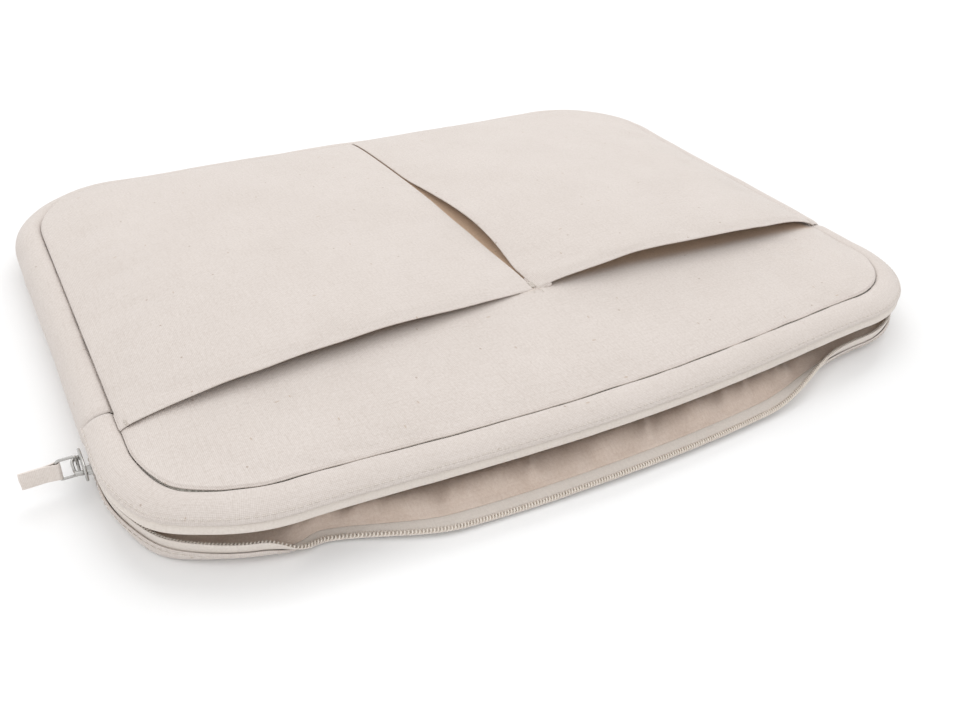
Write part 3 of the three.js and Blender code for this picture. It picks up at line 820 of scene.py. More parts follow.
def lip_place(at, out, along, inward):
    """Points on the lower lip's curve, which turns up from the seam or lies out along the floor."""
    step, count = 0.1, 300
    fall = fallen_at(at, out)
    distance = step * (np.arange(count) + 0.5)
    upright = 90 * np.minimum(1, distance / LIP_TURN_LENGTH) ** LIP_TURN_POWER
    bulging = 112 * smoothstep((distance - 9.0) / 5.0) - 26 * smoothstep((distance - 15.0) / 2.0)
    sag = sagged_at(out)[:, None]
    standing = upright * (1 - sag) + bulging * sag
    flat = LIP_FLAT_DEGREES + 2.0 * noise(at[:, 0], 0, 48, 45)
    heading = np.radians(standing * (1 - fall[:, None]) + (flat * fall)[:, None])
    line_out = np.cumsum(np.cos(heading), axis=1) * step
    line_z = np.cumsum(np.sin(heading), axis=1) * step
    tuck = LEFT_TUCK * (1 - smoothstep((at[:, 0] - TUCK_FROM_X) / TUCK_LENGTH))
    tuck = tuck * np.clip(along / LIP_TURN_LENGTH, 0, 1)
    reach = along * (1 + LIP_SPREAD * fall + 0.06 * sag[:, 0]) - tuck * fall
    reach = np.clip(reach / step - 1, 0, count - 2)
    k = reach.astype(int)
    part = reach - k
    row = np.arange(len(at))
    away = line_out[row, k] * (1 - part) + line_out[row, k + 1] * part
    z = line_z[row, k] * (1 - part) + line_z[row, k + 1] * part
    turn = heading[row, k]
    away = away + np.minimum(along, 0) - inward * np.sin(turn)
    z = np.maximum(z + inward * np.cos(turn), FLOOR_GAP)
    return bowed(np.column_stack([at + out * away[:, None], z]))


def lower_band(name, section, material, ripple, thickness, inset=0.0, spacing=2.5, count=26):
    """A piece of the lower lip; ripple moves points in from the lip's curve."""
    at, out, length = outline(ZIP_END_Y - inset, spacing)
    places = resample(section, count)
    run = run_length(places)
    fall = fallen_at(at, out)
    points, cloth = [], []
    for (along, inward), done in zip(places, run):
        shift = ripple(length, done / run[-1], fall)
        points.append(lip_place(at, out, np.full(len(at), along), inward + shift))
        cloth.append(np.column_stack([length, np.full(len(length), done)]))
    faces = grid_faces(count, len(at))
    obj = make_object(name, np.vstack(points), faces, np.vstack(cloth), material)
    return as_cloth(obj, thickness)


def band(name, path, section, material, ripple, flip=False, thickness=CANVAS_THICK, opened=False, count=26):
    """A piece along the sleeve's side; an opened one is lifted with the upper lip."""
    points, cloth, tall, wide = ribbon(path, resample(section, count), ripple)
    if opened:
        points = open_lip(points)
    obj = make_object(name, points, grid_faces(tall, wide, flip), cloth, material)
    return as_cloth(obj, thickness)


def end_groove(length):
    """Both ends dip into the seam that crosses the border there."""
    return -np.exp(-length / 0.9) - np.exp((length - length[-1]) / 0.9)


def upper_strip():
    """The border over the zip, gathered a little at the seam."""
    path = outline(ZIP_END_Y)

    def ripple(s, share):
        near_seam = math.exp(-share / 0.16)
        gather = (0.30 * noise(s, 0, 6.5, 51) + 0.2 * noise(s, 0, 14, 52)) * near_seam
        soft = 0.30 * noise(s, share * 30, 36, 53)
        fade = smoothstep((1 - share) / 0.25) * smoothstep(share / 0.06)
        return gather + soft * fade + end_groove(s) * fade

    return band("upper_zip_border", path, STRIP, CANVAS, ripple, opened=True, flip=True)


def lower_strip():
    def ripple(s, share, fall):
        near_seam = math.exp(-share / 0.16)
        gather = 0.25 * np.abs(noise(s, 0, 7, 54)) * near_seam
        folds = 0.5 * noise(s * 0.35, share * 26, 11, 55) + 0.5 * noise(s, 0, 30, 56)
        fade = smoothstep((1 - share) / 0.3) * smoothstep(share / 0.2)
        return gather + folds * fade * (1 - fall) - end_groove(s) * smoothstep(share / 0.06)

    return lower_band("lower_zip_border", LOWER_STRIP, CANVAS, ripple, CANVAS_THICK)


def rear_side():
    path = outline(ZIP_END_Y + 0.3, rear=True)

    def ripple(s, share):
        near_seam = math.exp(-min(share, 1 - share) / 0.1)
        gather = (0.30 * noise(s, 0, 7, 57) + 0.2 * noise(s, 0, 15, 58)) * near_seam
        soft = 0.5 * noise(s, share * 40, 34, 59) + 0.2 * noise(s, share * 40, 13, 60)
        fade = smoothstep(min(share, 1 - share) / 0.12)
        return gather + soft * fade + end_groove(s) * fade

    return band("rear_gusset_canvas", path, whole_side(GUSSET), CANVAS, ripple, flip=True, count=44)


def rear_lining():
    path = outline(ZIP_END_Y + 0.6, spacing=3, rear=True)

    def ripple(s, share):
        return -0.5 * (1 + noise(s, share * 40, 12, 61)) * math.sin(math.pi * share)

    section = whole_side(GUSSET_LINING)
    return band("rear_gusset_lining_cloth", path, section, LINING, ripple, thickness=LINING_THICK, count=30)


def upper_tape():
    path = outline(ZIP_END_Y - 0.5, spacing=2)

    def ripple(s, share):
        return -0.10 * noise(s, 0, 9, 91) * share

    return band("upper_tape_band", path, TAPE_BAND, TAPE, ripple, True, TAPE_THICK, True, 14)


def lower_tape():
    def ripple(s, share, fall):
        return 0.12 * noise(s, 0, 9, 92) * share

    return lower_band("lower_tape_band", LOWER_TAPE, TAPE, ripple, TAPE_THICK, 0.5, 2.0, 14)


def creases(s, share, seed, size):
    """Crumples of thin lining, none at its two sewn edges."""
    long = noise(s, share * 9, 5.5, seed) + 1.2 * noise(s, share * 9, 13, seed + 1)
    return size * long * math.sin(math.pi * min(1.0, share * 1.1))


def upper_facing():
    path = outline(ZIP_END_Y - 0.6, spacing=1.6)

    def ripple(s, share):
        return creases(s, share, 93, 0.5)

    return band("upper_facing_cloth", path, FACING, LINING, ripple, True, FACING_THICK, True, 18)


def lower_facing():
    def ripple(s, share, fall):
        puff = 1.3 * math.sin(math.pi * share) * fall
        ridge = 1 - 2 * np.abs(noise(s + 7 * share, share * 4, 7.0, 99))
        folded = (1.1 + 1.3 * ridge) * math.sin(math.pi * min(1.0, share * 1.15))
        return puff + creases(s, share, 95, 0.5) + folded * fall

    return lower_band("lower_facing_cloth", LOWER_FACING, FACING_CLOTH, ripple, FACING_THICK, 0.6, 1.6, 22)


def seam_binding(name, section, seed, opened):
    """Tape sewn over the seam allowance inside the sleeve, all the way round."""
    front = outline(CORE_Y, spacing=4)
    rear = outline(CORE_Y, spacing=4, rear=True)
    at = np.vstack([front[0], rear[0][1:-1]])
    out = np.vstack([front[1], rear[1][1:-1]])
    length = np.concatenate([front[2], front[2][-1] + rear[2][1:-1]])

    def ripple(s, share):
        return 0.12 * noise(s, share * 6, 5, seed)

    points, cloth, tall, wide = ribbon((at, out, length), resample(section, 8), ripple)
    points = open_lip(points) if opened else bowed(points)
    faces = grid_faces(tall, wide, opened, closed=True)
    return as_cloth(make_object(name, points, faces, cloth, TAPE), BINDING_THICK)


# --- zip coils ---


def tube(centre, radius, sides, closed=False):
    """A round tube along a line of points, with closed ends."""
    centre = np.asarray(centre, float)
    count = len(centre)
    if closed:
        along = np.roll(centre, -1, 0) - np.roll(centre, 1, 0)
    else:
        along = np.gradient(centre, axis=0)
    along /= np.linalg.norm(along, axis=1)[:, None]
    up = np.zeros_like(along)
    guide = np.array([0.0, 0.0, 1.0]) if abs(along[0, 2]) < 0.9 else np.array([1.0, 0.0, 0.0])
    for i in range(count):
        guide = guide - along[i] * guide.dot(along[i])
        guide /= np.linalg.norm(guide)
        up[i] = guide
    across = np.cross(along, up)
    angles = 2 * math.pi * np.arange(sides) / sides
    ring = np.cos(angles)[None, :, None] * up[:, None] + np.sin(angles)[None, :, None] * across[:, None]
    sizes = np.broadcast_to(radius, (count,))
    points = centre[:, None] + ring * sizes[:, None, None]
    length = run_length(centre)
    cloth = np.column_stack([np.repeat(length, sides), np.tile(angles * np.mean(sizes), count)])
    return points.reshape(-1, 3), tube_faces(count, sides, closed), cloth


COIL_PITCH = 1.25
COIL_STEPS = 6
COIL_WIRE = 0.34
COIL_HIGH = 0.72
COIL_WIDE = 0.6
# Middle of the upper coil: out from the seam line and up. The lower: along the lip and in.
UPPER_COIL = (11.3, 12.95)
LOWER_COIL = (18.1, 1.7)


def coil_turns(turn):
    """Stations, and how far aside and up the wire is there as it turns round the coil's centre."""
    at, out, length = outline(ZIP_END_Y - 0.8, spacing=1.5)
    s = np.arange(0, length[-1], COIL_PITCH / COIL_STEPS)
    at = np.column_stack([np.interp(s, length, column) for column in at.T])
    out = np.column_stack([np.interp(s, length, column) for column in out.T])
    phase = turn * 2 * math.pi * s / COIL_PITCH
    return at, out, COIL_WIDE * np.cos(phase), COIL_HIGH * np.sin(phase)


def upper_coil():
    at, out, aside, rise = coil_turns(1)
    xy = at + out * (UPPER_COIL[0] + aside)[:, None]
    points, faces, cloth = tube(np.column_stack([xy, UPPER_COIL[1] + rise]), COIL_WIRE, 5)
    return make_object("upper_coil_teeth", open_lip(points), faces, cloth, COIL)


def lower_coil():
    at, out, aside, rise = coil_turns(-1)
    places = lip_place(at, out, LOWER_COIL[0] + rise, LOWER_COIL[1] + aside)
    points, faces, cloth = tube(places, COIL_WIRE, 5)
    return make_object("lower_coil_teeth", points, faces, cloth, COIL)


# --- pockets ---

# The folded hems, from the turned-under edge to the fold: reach behind the edge, depth below.
HEM_ROWS = [
    (11, 1.25), (7, 1.25), (3.5, 1.2), (1.4, 1.15), (0.4, 1.0),
    (0.0, 0.6), (0.15, 0.25), (0.7, 0.05), (1.8, 0.0),
]
SLIT_HEM = [(8.0, 1.2), (4.0, 1.2), (1.4, 1.1), (0.3, 0.95), (0.0, 0.5), (0.2, 0.15)]


def pocket_lift(side, across, along):
    """How far the pocket stands off the panel; across runs from left to right, along to the rear."""
    peak, power, full = (0.46, 2.6, 6.2) if side < 0 else (0.50, 3.0, 9.5)
    warped = np.where(across < peak, 0.5 * across / peak, 0.5 + 0.5 * (across - peak) / (1 - peak))
    arch = 1 - np.abs(2 * warped - 1) ** power
    return full * arch * (1 - smoothstep(along * 0.85))


def slit_edge(side, along):
    """Inner edge of a pocket panel: how far it stands aside and up where the slit gapes."""
    gape = np.sin(math.pi * np.clip((along - 0.09) / 0.57, 0, 1) ** 0.8) ** 1.3
    if side < 0:
        return -0.5 - 0.9 * gape, 1.2 * gape
    return 0.5 + 2.5 * gape, 4.4 * gape


def mouth_y(side, across):
    """How far the pocket's mouth runs back from its front line, across from left to right."""
    inner = 1 - across if side < 0 else across
    centre = 7.5 * np.exp(-((inner / 0.16) ** 1.5))
    if side < 0:
        return centre + 2.0 * smoothstep((across - 0.1) / 0.5) * (1 - smoothstep((across - 0.8) / 0.2))
    return centre + 5.0 * smoothstep(across / 0.4) + 6.5 * smoothstep((across - 0.7) / 0.3)


def pocket(side, name):
    """A pocket panel, hemmed along its mouth and the slit. side is -1 on the left, 1 on the right."""
    shares = np.concatenate([
        [0.0, 0.0012, 0.003, 0.006, 0.012, 0.02, 0.032],
        np.linspace(0.05, 0.95, 46),
        [0.968, 0.98, 0.988, 0.994, 0.998, 1.0],
    ])
    body_rows = np.concatenate([
        POCKET_Y + 1.8 + np.array([1.6, 4.0]),
        np.linspace(POCKET_Y + 7.5, CORE_Y, 44),
        CORE_Y + CORNER_R * np.sin(np.radians(np.linspace(4, 89.2, 22))),
    ])
    rows = [(POCKET_Y + reach, drop) for reach, drop in HEM_ROWS]
    rows += [(y, 0.0) for y in body_rows]
    points, cloth = [], []
    for y, drop in rows:
        into = max(0.0, abs(y) - CORE_Y)
        outer = CORE_X + math.sqrt(max(0.0, CORNER_R**2 - into**2)) - 0.15
        along = np.clip((y - POCKET_Y) / (HALF_Y - POCKET_Y), 0, 1)
        aside, up = slit_edge(side, along)
        left, right = (-outer, aside) if side < 0 else (aside, outer)
        x = left + (right - left) * shares
        under = np.zeros(len(x))
        tuck_x = np.array([aside + side * reach for reach, _ in SLIT_HEM])
        tuck_drop = np.array([fall for _, fall in SLIT_HEM])
        if side > 0:
            x, under = np.concatenate([tuck_x, x[1:]]), np.concatenate([tuck_drop, under[1:]])
        else:
            x = np.concatenate([x[:-1], tuck_x[::-1]])
            under = np.concatenate([under[:-1], tuck_drop[::-1]])
        across = np.clip((x - left) / (right - left), 0, 1)
        near_slit = np.exp(-np.abs(x - aside) / 26.0)
        lift = np.maximum(pocket_lift(side, across, along), up * near_slit)
        yy = y + mouth_y(side, across) * (1 - smoothstep(along * 1.6))
        z = pocket_surface(side, x, yy, lift) - drop - under
        points.append(np.column_stack([x, yy, z]))
        cloth.append(np.column_stack([x, yy]))
    tall, wide = len(rows), len(points[0])
    obj = make_object(name, np.vstack(points), grid_faces(tall, wide), np.vstack(cloth), CANVAS)
    row, column = np.divmod(np.arange(tall * wide), wide)
    if side > 0:
        column = wide - 1 - column
    hemmed = (row < len(HEM_ROWS)) | (column > wide - 1 - len(SLIT_HEM) - 2)
    settle(obj, hemmed | (row > tall - 3) | (column < 3))
    return as_cloth(obj, POCKET_THICK)


def pocket_surface(side, x, y, lift):
    """Height of a pocket's face, which waves where it stands off the front."""
    d = np.maximum(inside_distance(x, y), 0)
    wave = 0.9 * noise(x, y, 60, 71 + side) + 0.3 * noise(x, y, 20, 73 + side)
    loose = np.clip(lift / 3, 0, 1) * smoothstep(d / 12)
    base = front_height(x, y) + shoulder(d) + 1.3
    return base + lift + wave * loose + pucker(x, y, 75 + side) * 0.6


# --- slider, link and tab ---

# How far out from the seam line the slider's two plates start.
OUTER_PLATE = 15.4
INNER_PLATE = 7.8


def join(name, parts, material):
    """One object from several closed shells given as (points, faces, cloth)."""
    points, faces, cloth, base = [], [], [], 0
    for p, f, c in parts:
        points.append(p)
        cloth.append(c)
        faces += [tuple(base + v for v in face) for face in f]
        base += len(p)
    return make_object(name, np.vstack(points), faces, np.vstack(cloth), material)


def swept_plate(outline_yz, x_from, x_to, bevel):
    """A plate lying across X with rounded rims, from its outline in Y and Z."""
    outline_yz = np.asarray(outline_yz, float)
    middle = outline_yz.mean(axis=0)
    low, high = min(x_from, x_to), max(x_from, x_to)
    turns = np.linspace(0, 0.66 * math.pi / 2, 3)
    rim = [(bevel * (1 - math.sin(t)), bevel * (1 - math.cos(t))) for t in turns]
    layers = [(low, bevel), *[(low + depth, inset) for depth, inset in rim[::-1]]]
    layers += [*[(high - depth, inset) for depth, inset in rim], (high, bevel)]
    points, count = [], len(outline_yz)
    for x, inset in layers:
        shrink = 1 - inset / np.linalg.norm(outline_yz - middle, axis=1)
        ring = middle + (outline_yz - middle) * shrink[:, None]
        points.append(np.column_stack([np.full(count, x), ring]))
    points = np.vstack(points)
    return points, [f[::-1] for f in tube_faces(len(layers), count)], points[:, 1:]


def slider_outline(half_height):
    """Shield shape: a broad nose towards the closing end and a narrower tail."""
    half = (SLIDER_HIGH[1] - SLIDER_LOW[1]) / 2
    points = []
    for angle in np.linspace(0, 2 * math.pi, 40, endpoint=False):
        y, z = math.cos(angle), math.sin(angle)
        squarish = (abs(y) ** 3.2 + abs(z) ** 3.2) ** (-1 / 3.2)
        y, z = y * squarish, z * squarish
        waist = 1 - 0.26 * smoothstep((y + 0.2) / 1.2)
        points.append((SLIDER_Y + y * half, MID_Z + z * half_height * waist))
    return points


def slider():
    """Two shield-shaped plates, the web between them and the bail over the outer one."""
    outer_face = -HALF_X - OUTER_PLATE
    inner_face = -HALF_X - INNER_PLATE
    parts = [
        swept_plate(slider_outline(4.15), outer_face, outer_face + 1.1, 0.45),
        swept_plate(slider_outline(3.3), inner_face, inner_face - 1.0, 0.4),
    ]
    upper_web = [(-6.8, 0.5), (-5, 0.7), (-3, 0.6)]
    web = [(-7.2, 0), *upper_web, (-1.6, 0), *[(y, -z) for y, z in upper_web[::-1]]]
    web = [(SLIDER_Y + y, MID_Z + z) for y, z in web]
    parts.append(swept_plate(web, outer_face + 0.6, inner_face - 0.5, 0.1))
    rise = np.array([
        (0.0, -5.0), (1.5, -4.9), (2.5, -4.2), (2.85, -2.8), (2.95, -0.8),
        (2.95, 1.0), (2.8, 2.6), (2.3, 3.7), (1.3, 4.2), (-0.1, 4.3),
    ])
    away, along = resample(rise, 26).T
    arch = np.column_stack([outer_face - away + 0.05, SLIDER_Y + along, 0 * away + MID_Z])
    wire, sides = 0.62, 12
    width = 0.9 + 0.35 * np.abs(np.linspace(-1, 1, len(arch))) ** 3
    bail, faces, cloth = tube(arch, wire, sides)
    bail[:, 2] = MID_Z + (bail[:, 2] - MID_Z) * np.repeat(width, sides) / wire
    parts.append((bail, faces, cloth))
    return join("zip_slider", parts, METAL)


def link():
    """A bent wire ring through the bail."""
    low, high = LINK_LOW, LINK_HIGH
    bar = (high[1] - low[1]) / 2
    cx, cz = (low[0] + high[0]) / 2, (low[2] + high[2]) / 2
    half_x, half_z = (high[0] - low[0]) / 2 - bar, (high[2] - low[2]) / 2 - bar
    radius = 1.1
    quarters = ((1, 1, 0), (-1, 1, 90), (-1, -1, 180), (1, -1, 270))
    points = []
    for sx, sz, start in quarters:
        for degrees in np.linspace(start, start + 90, 7):
            a = math.radians(degrees)
            points.append((cx + sx * (half_x - radius) + radius * math.cos(a), SLIDER_Y,
                           cz + sz * (half_z - radius) + radius * math.sin(a)))
    path = np.array(points)
    dense, spacing = [], 0.5
    for a, b in zip(path, np.roll(path, -1, 0)):
        steps = max(1, int(np.linalg.norm(b - a) / spacing))
        dense += [a + (b - a) * t / steps for t in range(steps)]
    ring, faces, cloth = tube(np.array(dense), bar * 0.92, 12, closed=True)
    return join("pull_link_wire", [(ring, faces, cloth)], METAL)


def tab():
    """A strip of canvas folded round the link's outer bar, its two layers sewn together."""
    bar_x = LINK_LOW[0] + 0.6
    tail = TAB_LOW[0]
    reach = bar_x - tail
    loop = 1.35
    profile = [(-reach * share, y) for share, y in ((1, 0.42), (0.8, 0.46), (0.5, 0.46), (0.3, 0.55))]
    profile.append((-1.9, 0.9))
    turn = [(loop * math.cos(a), loop * math.sin(a)) for a in np.radians(np.linspace(125, -125, 13))]
    profile = profile + turn + [(x, -y) for x, y in profile[::-1]]
    profile = resample(profile, 60)
    half_z = (TAB_HIGH[2] - TAB_LOW[2]) / 2 - 0.1
    zs = np.concatenate([[-1, -0.97, -0.88], np.linspace(-0.7, 0.7, 9), [0.88, 0.97, 1]])
    points, cloth = [], []
    along = run_length(profile)
    away, aside = profile.T
    for z in zs:
        edge = 1 - 0.25 * abs(z) ** 8
        x = bar_x + away + 0.15 * noise(away, 0 * along + z * 3, 3, 81)
        y = SLIDER_Y + aside * edge + 0.12 * noise(away, 0 * along + z * 4, 4, 82)
        sag = 0.35 * smoothstep(-away / reach)
        points.append(np.column_stack([x, y, MID_Z + z * half_z - sag]))
        cloth.append(np.column_stack([along, np.full(len(along), z * half_z)]))
    faces = grid_faces(len(zs), len(profile))
    obj = make_object("pull_tab_canvas", np.vstack(points), faces, np.vstack(cloth), TAB_CANVAS)
    return as_cloth(obj, TAB_THICK, offset=1.0)


# --- stitches ---

# From one stitch to the next, the share of that which a stitch covers, how far the rows start
# from the zip's ends, and how deep a stitch's ends sink.
STITCH_PITCH = 3.0
STITCH_SHARE = 0.78
STITCH_INSET = 2.0
THREAD_SINK = 0.16
# How far a ray looks for the cloth, in metres.
CAST_REACH = 0.06


class Surface:
    """A finished mesh, for laying stitches on it."""

    def __init__(self, obj):
        evaluated = obj.evaluated_get(bpy.context.evaluated_depsgraph_get())
        mesh = evaluated.to_mesh()
        points = [v.co.copy() for v in mesh.vertices]
        self.tree = BVHTree.FromPolygons(points, [tuple(p.vertices) for p in mesh.polygons])
        evaluated.to_mesh_clear()

    def hit(self, origin, direction, only_met=False):
        """Place and outward normal where a ray from origin meets the cloth, or else the nearest."""
        start = Vector(origin) * MM
        place, normal, _, _ = self.tree.ray_cast(start, Vector(direction).normalized(), CAST_REACH)
        if place is None and only_met:
            return None
        if place is None:
            place, normal, _, _ = self.tree.find_nearest(start)
        normal = np.array(normal)
        return np.array(place) / MM, -normal if normal.dot(direction) > 0 else normal


def thread_bits(spans, radius=0.21, rise=0.16, sides=6, steps=5):
    """Stitches as short arched threads. spans are (start, end, normal)."""
    parts = []
    for start, end, normal in spans:
        t = np.linspace(0, 1, steps)
        line = start + (end - start) * t[:, None]
        sunk = THREAD_SINK * ((t < 0.01) | (t > 0.99))
        line = line + normal * (rise * np.sin(math.pi * t) ** 0.6 - sunk)[:, None]
        parts.append(tube(line, radius, sides))
    return parts


def stitch_row(name, surface, spots):
    """A row of stitches along spots, each (origin outside the cloth, direction towards it)."""
    hits = [surface.hit(origin, direction) for origin, direction in spots]
    return stitch_line(name, np.array([h[0] for h in hits]), np.array([h[1] for h in hits]))


def stitch_line(name, places, normals):
    """A row of stitches along a line of places on the cloth."""
    length = run_length(places)

    def at(s):
        return np.array([np.interp(s, length, column) for column in places.T])

    def facing_at(s):
        n = np.array([np.interp(s, length, column) for column in normals.T])
        return n / np.linalg.norm(n)

    spans = []
    for k in range(int(length[-1] / STITCH_PITCH)):
        s = (k + 0.12) * STITCH_PITCH
        spans.append((at(s), at(s + STITCH_SHARE * STITCH_PITCH), facing_at(s + STITCH_PITCH / 2)))
    return join(name, thread_bits(spans), THREAD)


def border_spots(height, reach=24.0):
    """Spots for a row of stitches round the upper lip's side at one height, cast inwards."""
    at, out, _ = outline(ZIP_END_Y - STITCH_INSET, spacing=2.0)
    origins = open_lip(np.column_stack([at + out * reach, np.full(len(at), height)]))
    ahead = open_lip(np.column_stack([at, np.full(len(at), height)]))
    return list(zip(origins, ahead - origins))


def lower_lip_stitches():
    at, out, _ = outline(ZIP_END_Y - STITCH_INSET, spacing=2.0)
    along = np.full(len(at), 13.9)
    places = lip_place(at, out, along, np.full(len(at), 0.12))
    outside = lip_place(at, out, along, np.full(len(at), -0.88))
    return stitch_line("lower_zip_stitches", places, outside - places)


def upper_binding():
    section = [(-7.0, 16.2), (-5.6, 16.55), (-3.6, 16.55), (-1.8, 16.55), (-0.6, 16.2)]
    return seam_binding("upper_binding_tape", section, 97, True)


def lower_binding():
    section = [(-7.0, 5.9), (-5.6, 5.55), (-3.6, 5.55), (-1.8, 5.55), (-0.6, 5.9)]
    return seam_binding("lower_binding_tape", section, 98, False)


# How far each tack lies back from the place of its CAD node.
TACK_BACK = {"centre_tack_thread": 8.0, "left_tack_thread": -1.2, "right_tack_thread": 12.0}


def bartack(name, node, surfaces, length, width, count, ends=()):
    """A dense zigzag of thread across a seam's end; ends are loose ends, (reach, how far aside)."""
    low, high = box_mm(node)
    centre = (low + high) / 2
    centre[1] += TACK_BACK[name]
    along = np.array([0.0, 1.0, 0.0])
    side = np.array([-1.0, 0.0, 0.0])
    above = np.array([0, 0, 24.0])

    def on_top(place):
        hits = [surface.hit(place + above, (0, 0, -1.0), only_met=True) for surface in surfaces]
        return max(filter(None, hits), key=lambda hit: hit[0][2])

    spans = []
    for k in range(count):
        place = centre + along * (k / (count - 1) - 0.5) * length
        a = on_top(place - side * width / 2)
        b = on_top(place + along * length / count / 2 + side * width / 2)
        spans.append((a[0], b[0], a[1]))
    parts = thread_bits(spans, radius=0.2, rise=0.2)
    for reach, aside in ends:
        line = []
        for t in np.linspace(0, 1, 9):
            spot = centre + np.array([aside * t + 0.5 * math.sin(5 * t), -reach * t, 0])
            line.append(on_top(spot)[0] + np.array([0, 0, 0.3 + 0.5 * math.sin(math.pi * t)]))
        parts.append(tube(np.array(line), 0.13, 6))
    return join(name, parts, THREAD)


# --- camera, light and floor ---


CAMERA_PLACE = (-0.21124, -0.37168, 0.24518)
CAMERA_TURNS = (31.68, 34.86, 3.21)
CAMERA_LENS = 34.92
SENSOR_WIDTH = 36.0
FLOOR_HALF = 4.0
WHITE = (1.0, 1.0, 1.0, 1.0)


def camera():
    """The view is set by its turn, tilt and roll, looking down over the front left corner."""
    turn, tilt, roll = (math.radians(a) for a in CAMERA_TURNS)
    forward = Vector((math.sin(turn) * math.cos(tilt), math.cos(turn) * math.cos(tilt), -math.sin(tilt)))
    level = Vector((math.cos(turn), -math.sin(turn), 0))
    upright = level.cross(forward)
    right = level * math.cos(roll) + upright * math.sin(roll)
    up = upright * math.cos(roll) - level * math.sin(roll)
    data = bpy.data.cameras.new("camera")
    data.lens = CAMERA_LENS
    data.sensor_width = SENSOR_WIDTH
    obj = bpy.data.objects.new("camera", data)
    bpy.context.scene.collection.objects.link(obj)
    turn_matrix = Matrix((right, up, -forward)).transposed()
    obj.matrix_world = Matrix.Translation(CAMERA_PLACE) @ turn_matrix.to_4x4()
    bpy.context.scene.camera = obj


def area_light(name, place, aim, size, power):
    data = bpy.data.lights.new(name, "AREA")
    data.energy = power
    data.size = size
    obj = bpy.data.objects.new(name, data)
    obj.location = place
    obj.rotation_mode = "QUATERNION"
    obj.rotation_quaternion = (Vector(aim) - Vector(place)).to_track_quat("-Z", "Y")
    bpy.context.scene.collection.objects.link(obj)


def studio():
    """Soft white surroundings, two large lamps and a plain pale floor with a little gloss."""
    world = bpy.data.worlds.new("studio")
    world.use_nodes = True
    background = world.node_tree.nodes["Background"]
    background.inputs["Color"].default_value = WHITE
    background.inputs["Strength"].default_value = 0.98
    bpy.context.scene.world = world
    area_light("key", (0.5, 0.7, 1.3), (0, 0, 0), 1.2, 6.0)
    area_light("fill", (-1.2, -0.5, 0.9), (0, 0, 0), 1.4, 2.0)
    mesh = bpy.data.meshes.new("floor")
    corners = [(x * FLOOR_HALF, y * FLOOR_HALF, 0) for x, y in ((-1, -1), (1, -1), (1, 1), (-1, 1))]
    mesh.from_pydata(corners, [], [(0, 1, 2, 3)])
    floor = bpy.data.objects.new("floor", mesh)
    bpy.context.scene.collection.objects.link(floor)
    n = Nodes("floor")
    n.set(Base_Color=(0.93, 0.93, 0.93, 1.0), Roughness=0.18, Specular_IOR_Level=0.35)
    mesh.materials.append(n.material)
    bpy.context.scene.view_settings.view_transform = "Standard"


# --- assembly ---


def cut(obj):
    """The width and length of a cloth's flat cut, in metres."""
    flat = np.zeros(len(obj.data.vertices) * 3, np.float32)
    obj.data.attributes["cloth"].data.foreach_get("vector", flat)
    spans = np.ptp(flat.reshape(-1, 3), axis=0)
    return float(spans[0]), float(spans[1])


def bends(obj, *nodes):
    """The piece crosses the fold, so its transform is baked into its mesh and it is put on no body."""
    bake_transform(obj)
    if nodes:
        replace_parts(obj, *nodes)


def stays(obj, *nodes):
    """The piece keeps to the sleeve's body."""
    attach(obj, "sleeve_body")
    if nodes:
        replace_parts(obj, *nodes)


camera()
studio()

front = front_canvas()
upper = upper_strip()
lower = lower_strip()
rear = rear_side()
back = back_canvas()
left = pocket(-1, "left_pocket_canvas")
right = pocket(1, "right_pocket_canvas")
bpy.context.view_layer.update()
tops = {"front": Surface(front), "left": Surface(left), "right": Surface(right)}

upper_stitches = stitch_row("upper_zip_stitches", Surface(upper), border_spots(18.2))
lower_stitches = lower_lip_stitches()
loose_ends = ((7.0, 2.4), (6.0, -1.8))
under_centre = [tops["front"], tops["left"], tops["right"]]
centre_tack = bartack("centre_tack_thread", "centre_bartack", under_centre, 3.6, 3.0, 9, loose_ends)
left_tack = bartack("left_tack_thread", "left_bartack", [tops["front"], tops["left"]], 3.0, 1.2, 8)
right_tack = bartack("right_tack_thread", "right_bartack", [tops["front"], tops["right"]], 3.0, 1.2, 8)

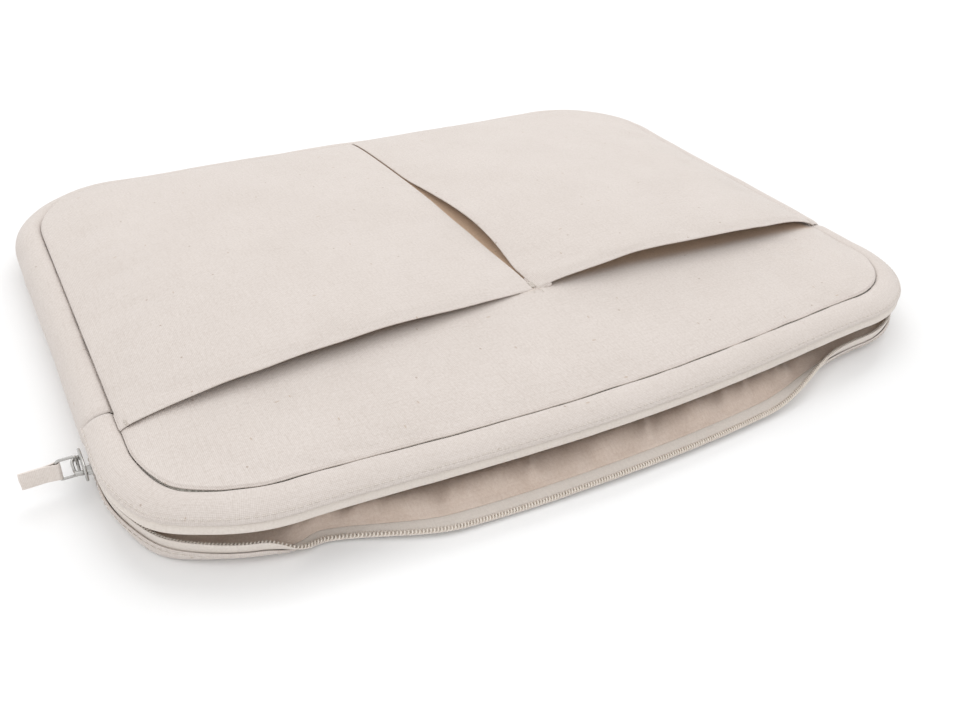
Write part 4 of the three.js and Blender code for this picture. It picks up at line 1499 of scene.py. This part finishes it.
edge_tape = {"upper": upper_tape(), "lower": lower_tape()}
coils = {"upper": upper_coil(), "lower": lower_coil()}
facings = {"upper": upper_facing(), "lower": lower_facing()}
bindings = {"upper": upper_binding(), "lower": lower_binding()}
linings = {"front": front_lining(), "back": back_lining(), "rear": rear_lining()}
pads = {"front": front_pad(), "back": back_pad()}
pull = {"slider": slider(), "link": link(), "tab": tab()}

bends(front, "front_panel", "front_panel_lip")
bends(upper, "upper_zip_strip", "upper_strip_left_end", "upper_strip_right_end")
bends(upper_stitches)
bends(edge_tape["upper"], "upper_zip_tape", "upper_tape_left_end", "upper_tape_right_end")
bends(coils["upper"], "upper_zip_coil", "upper_coil_left_end", "upper_coil_right_end")
bends(facings["upper"], "upper_zip_facing")
bends(linings["front"], "front_lining", "front_lining_lip")
bends(pads["front"], "front_padding", "front_padding_lip")
bends(bindings["upper"], "upper_seam_binding", "upper_seam_binding_lip")
stays(lower, "lower_zip_strip")
stays(lower_stitches)
stays(edge_tape["lower"], "lower_zip_tape")
stays(coils["lower"], "lower_zip_coil")
stays(facings["lower"], "lower_zip_facing")
stays(bindings["lower"], "lower_seam_binding")
stays(rear, "rear_gusset")
stays(linings["rear"], "rear_gusset_lining")
stays(back, "back_panel")
stays(linings["back"], "back_lining")
stays(pads["back"], "back_padding")
stays(left, "left_pocket_panel")
stays(right, "right_pocket_panel")
stays(centre_tack, "centre_bartack")
stays(left_tack, "left_bartack")
stays(right_tack, "right_bartack")
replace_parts(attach(pull["slider"], "zip_slider"), "slider_body")
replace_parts(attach(pull["link"], "pull_link"), "pull_link")
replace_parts(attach(pull["tab"], "pull_tab"), "pull_tab")

slots = {
    "canvas": [front, back, upper, lower, rear, left, right, pull["tab"]],
    "lining": [*linings.values(), *facings.values()],
    "foam": pads.values(),
    "zip_tape": [*edge_tape.values(), *bindings.values()],
    "zip_coil": coils.values(),
    "slider_metal": [pull["slider"], pull["link"]],
    "thread": [upper_stitches, lower_stitches, centre_tack, left_tack, right_tack],
}
for slot, pieces in slots.items():
    for piece in pieces:
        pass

cut(front)
cut(back)
cut(left)
cut(right)
cut(linings["front"])
cut(linings["back"])
cut(upper)
cut(lower)
cut(rear)
cut(linings["rear"])
cut(facings["lower"])
cut(facings["upper"])
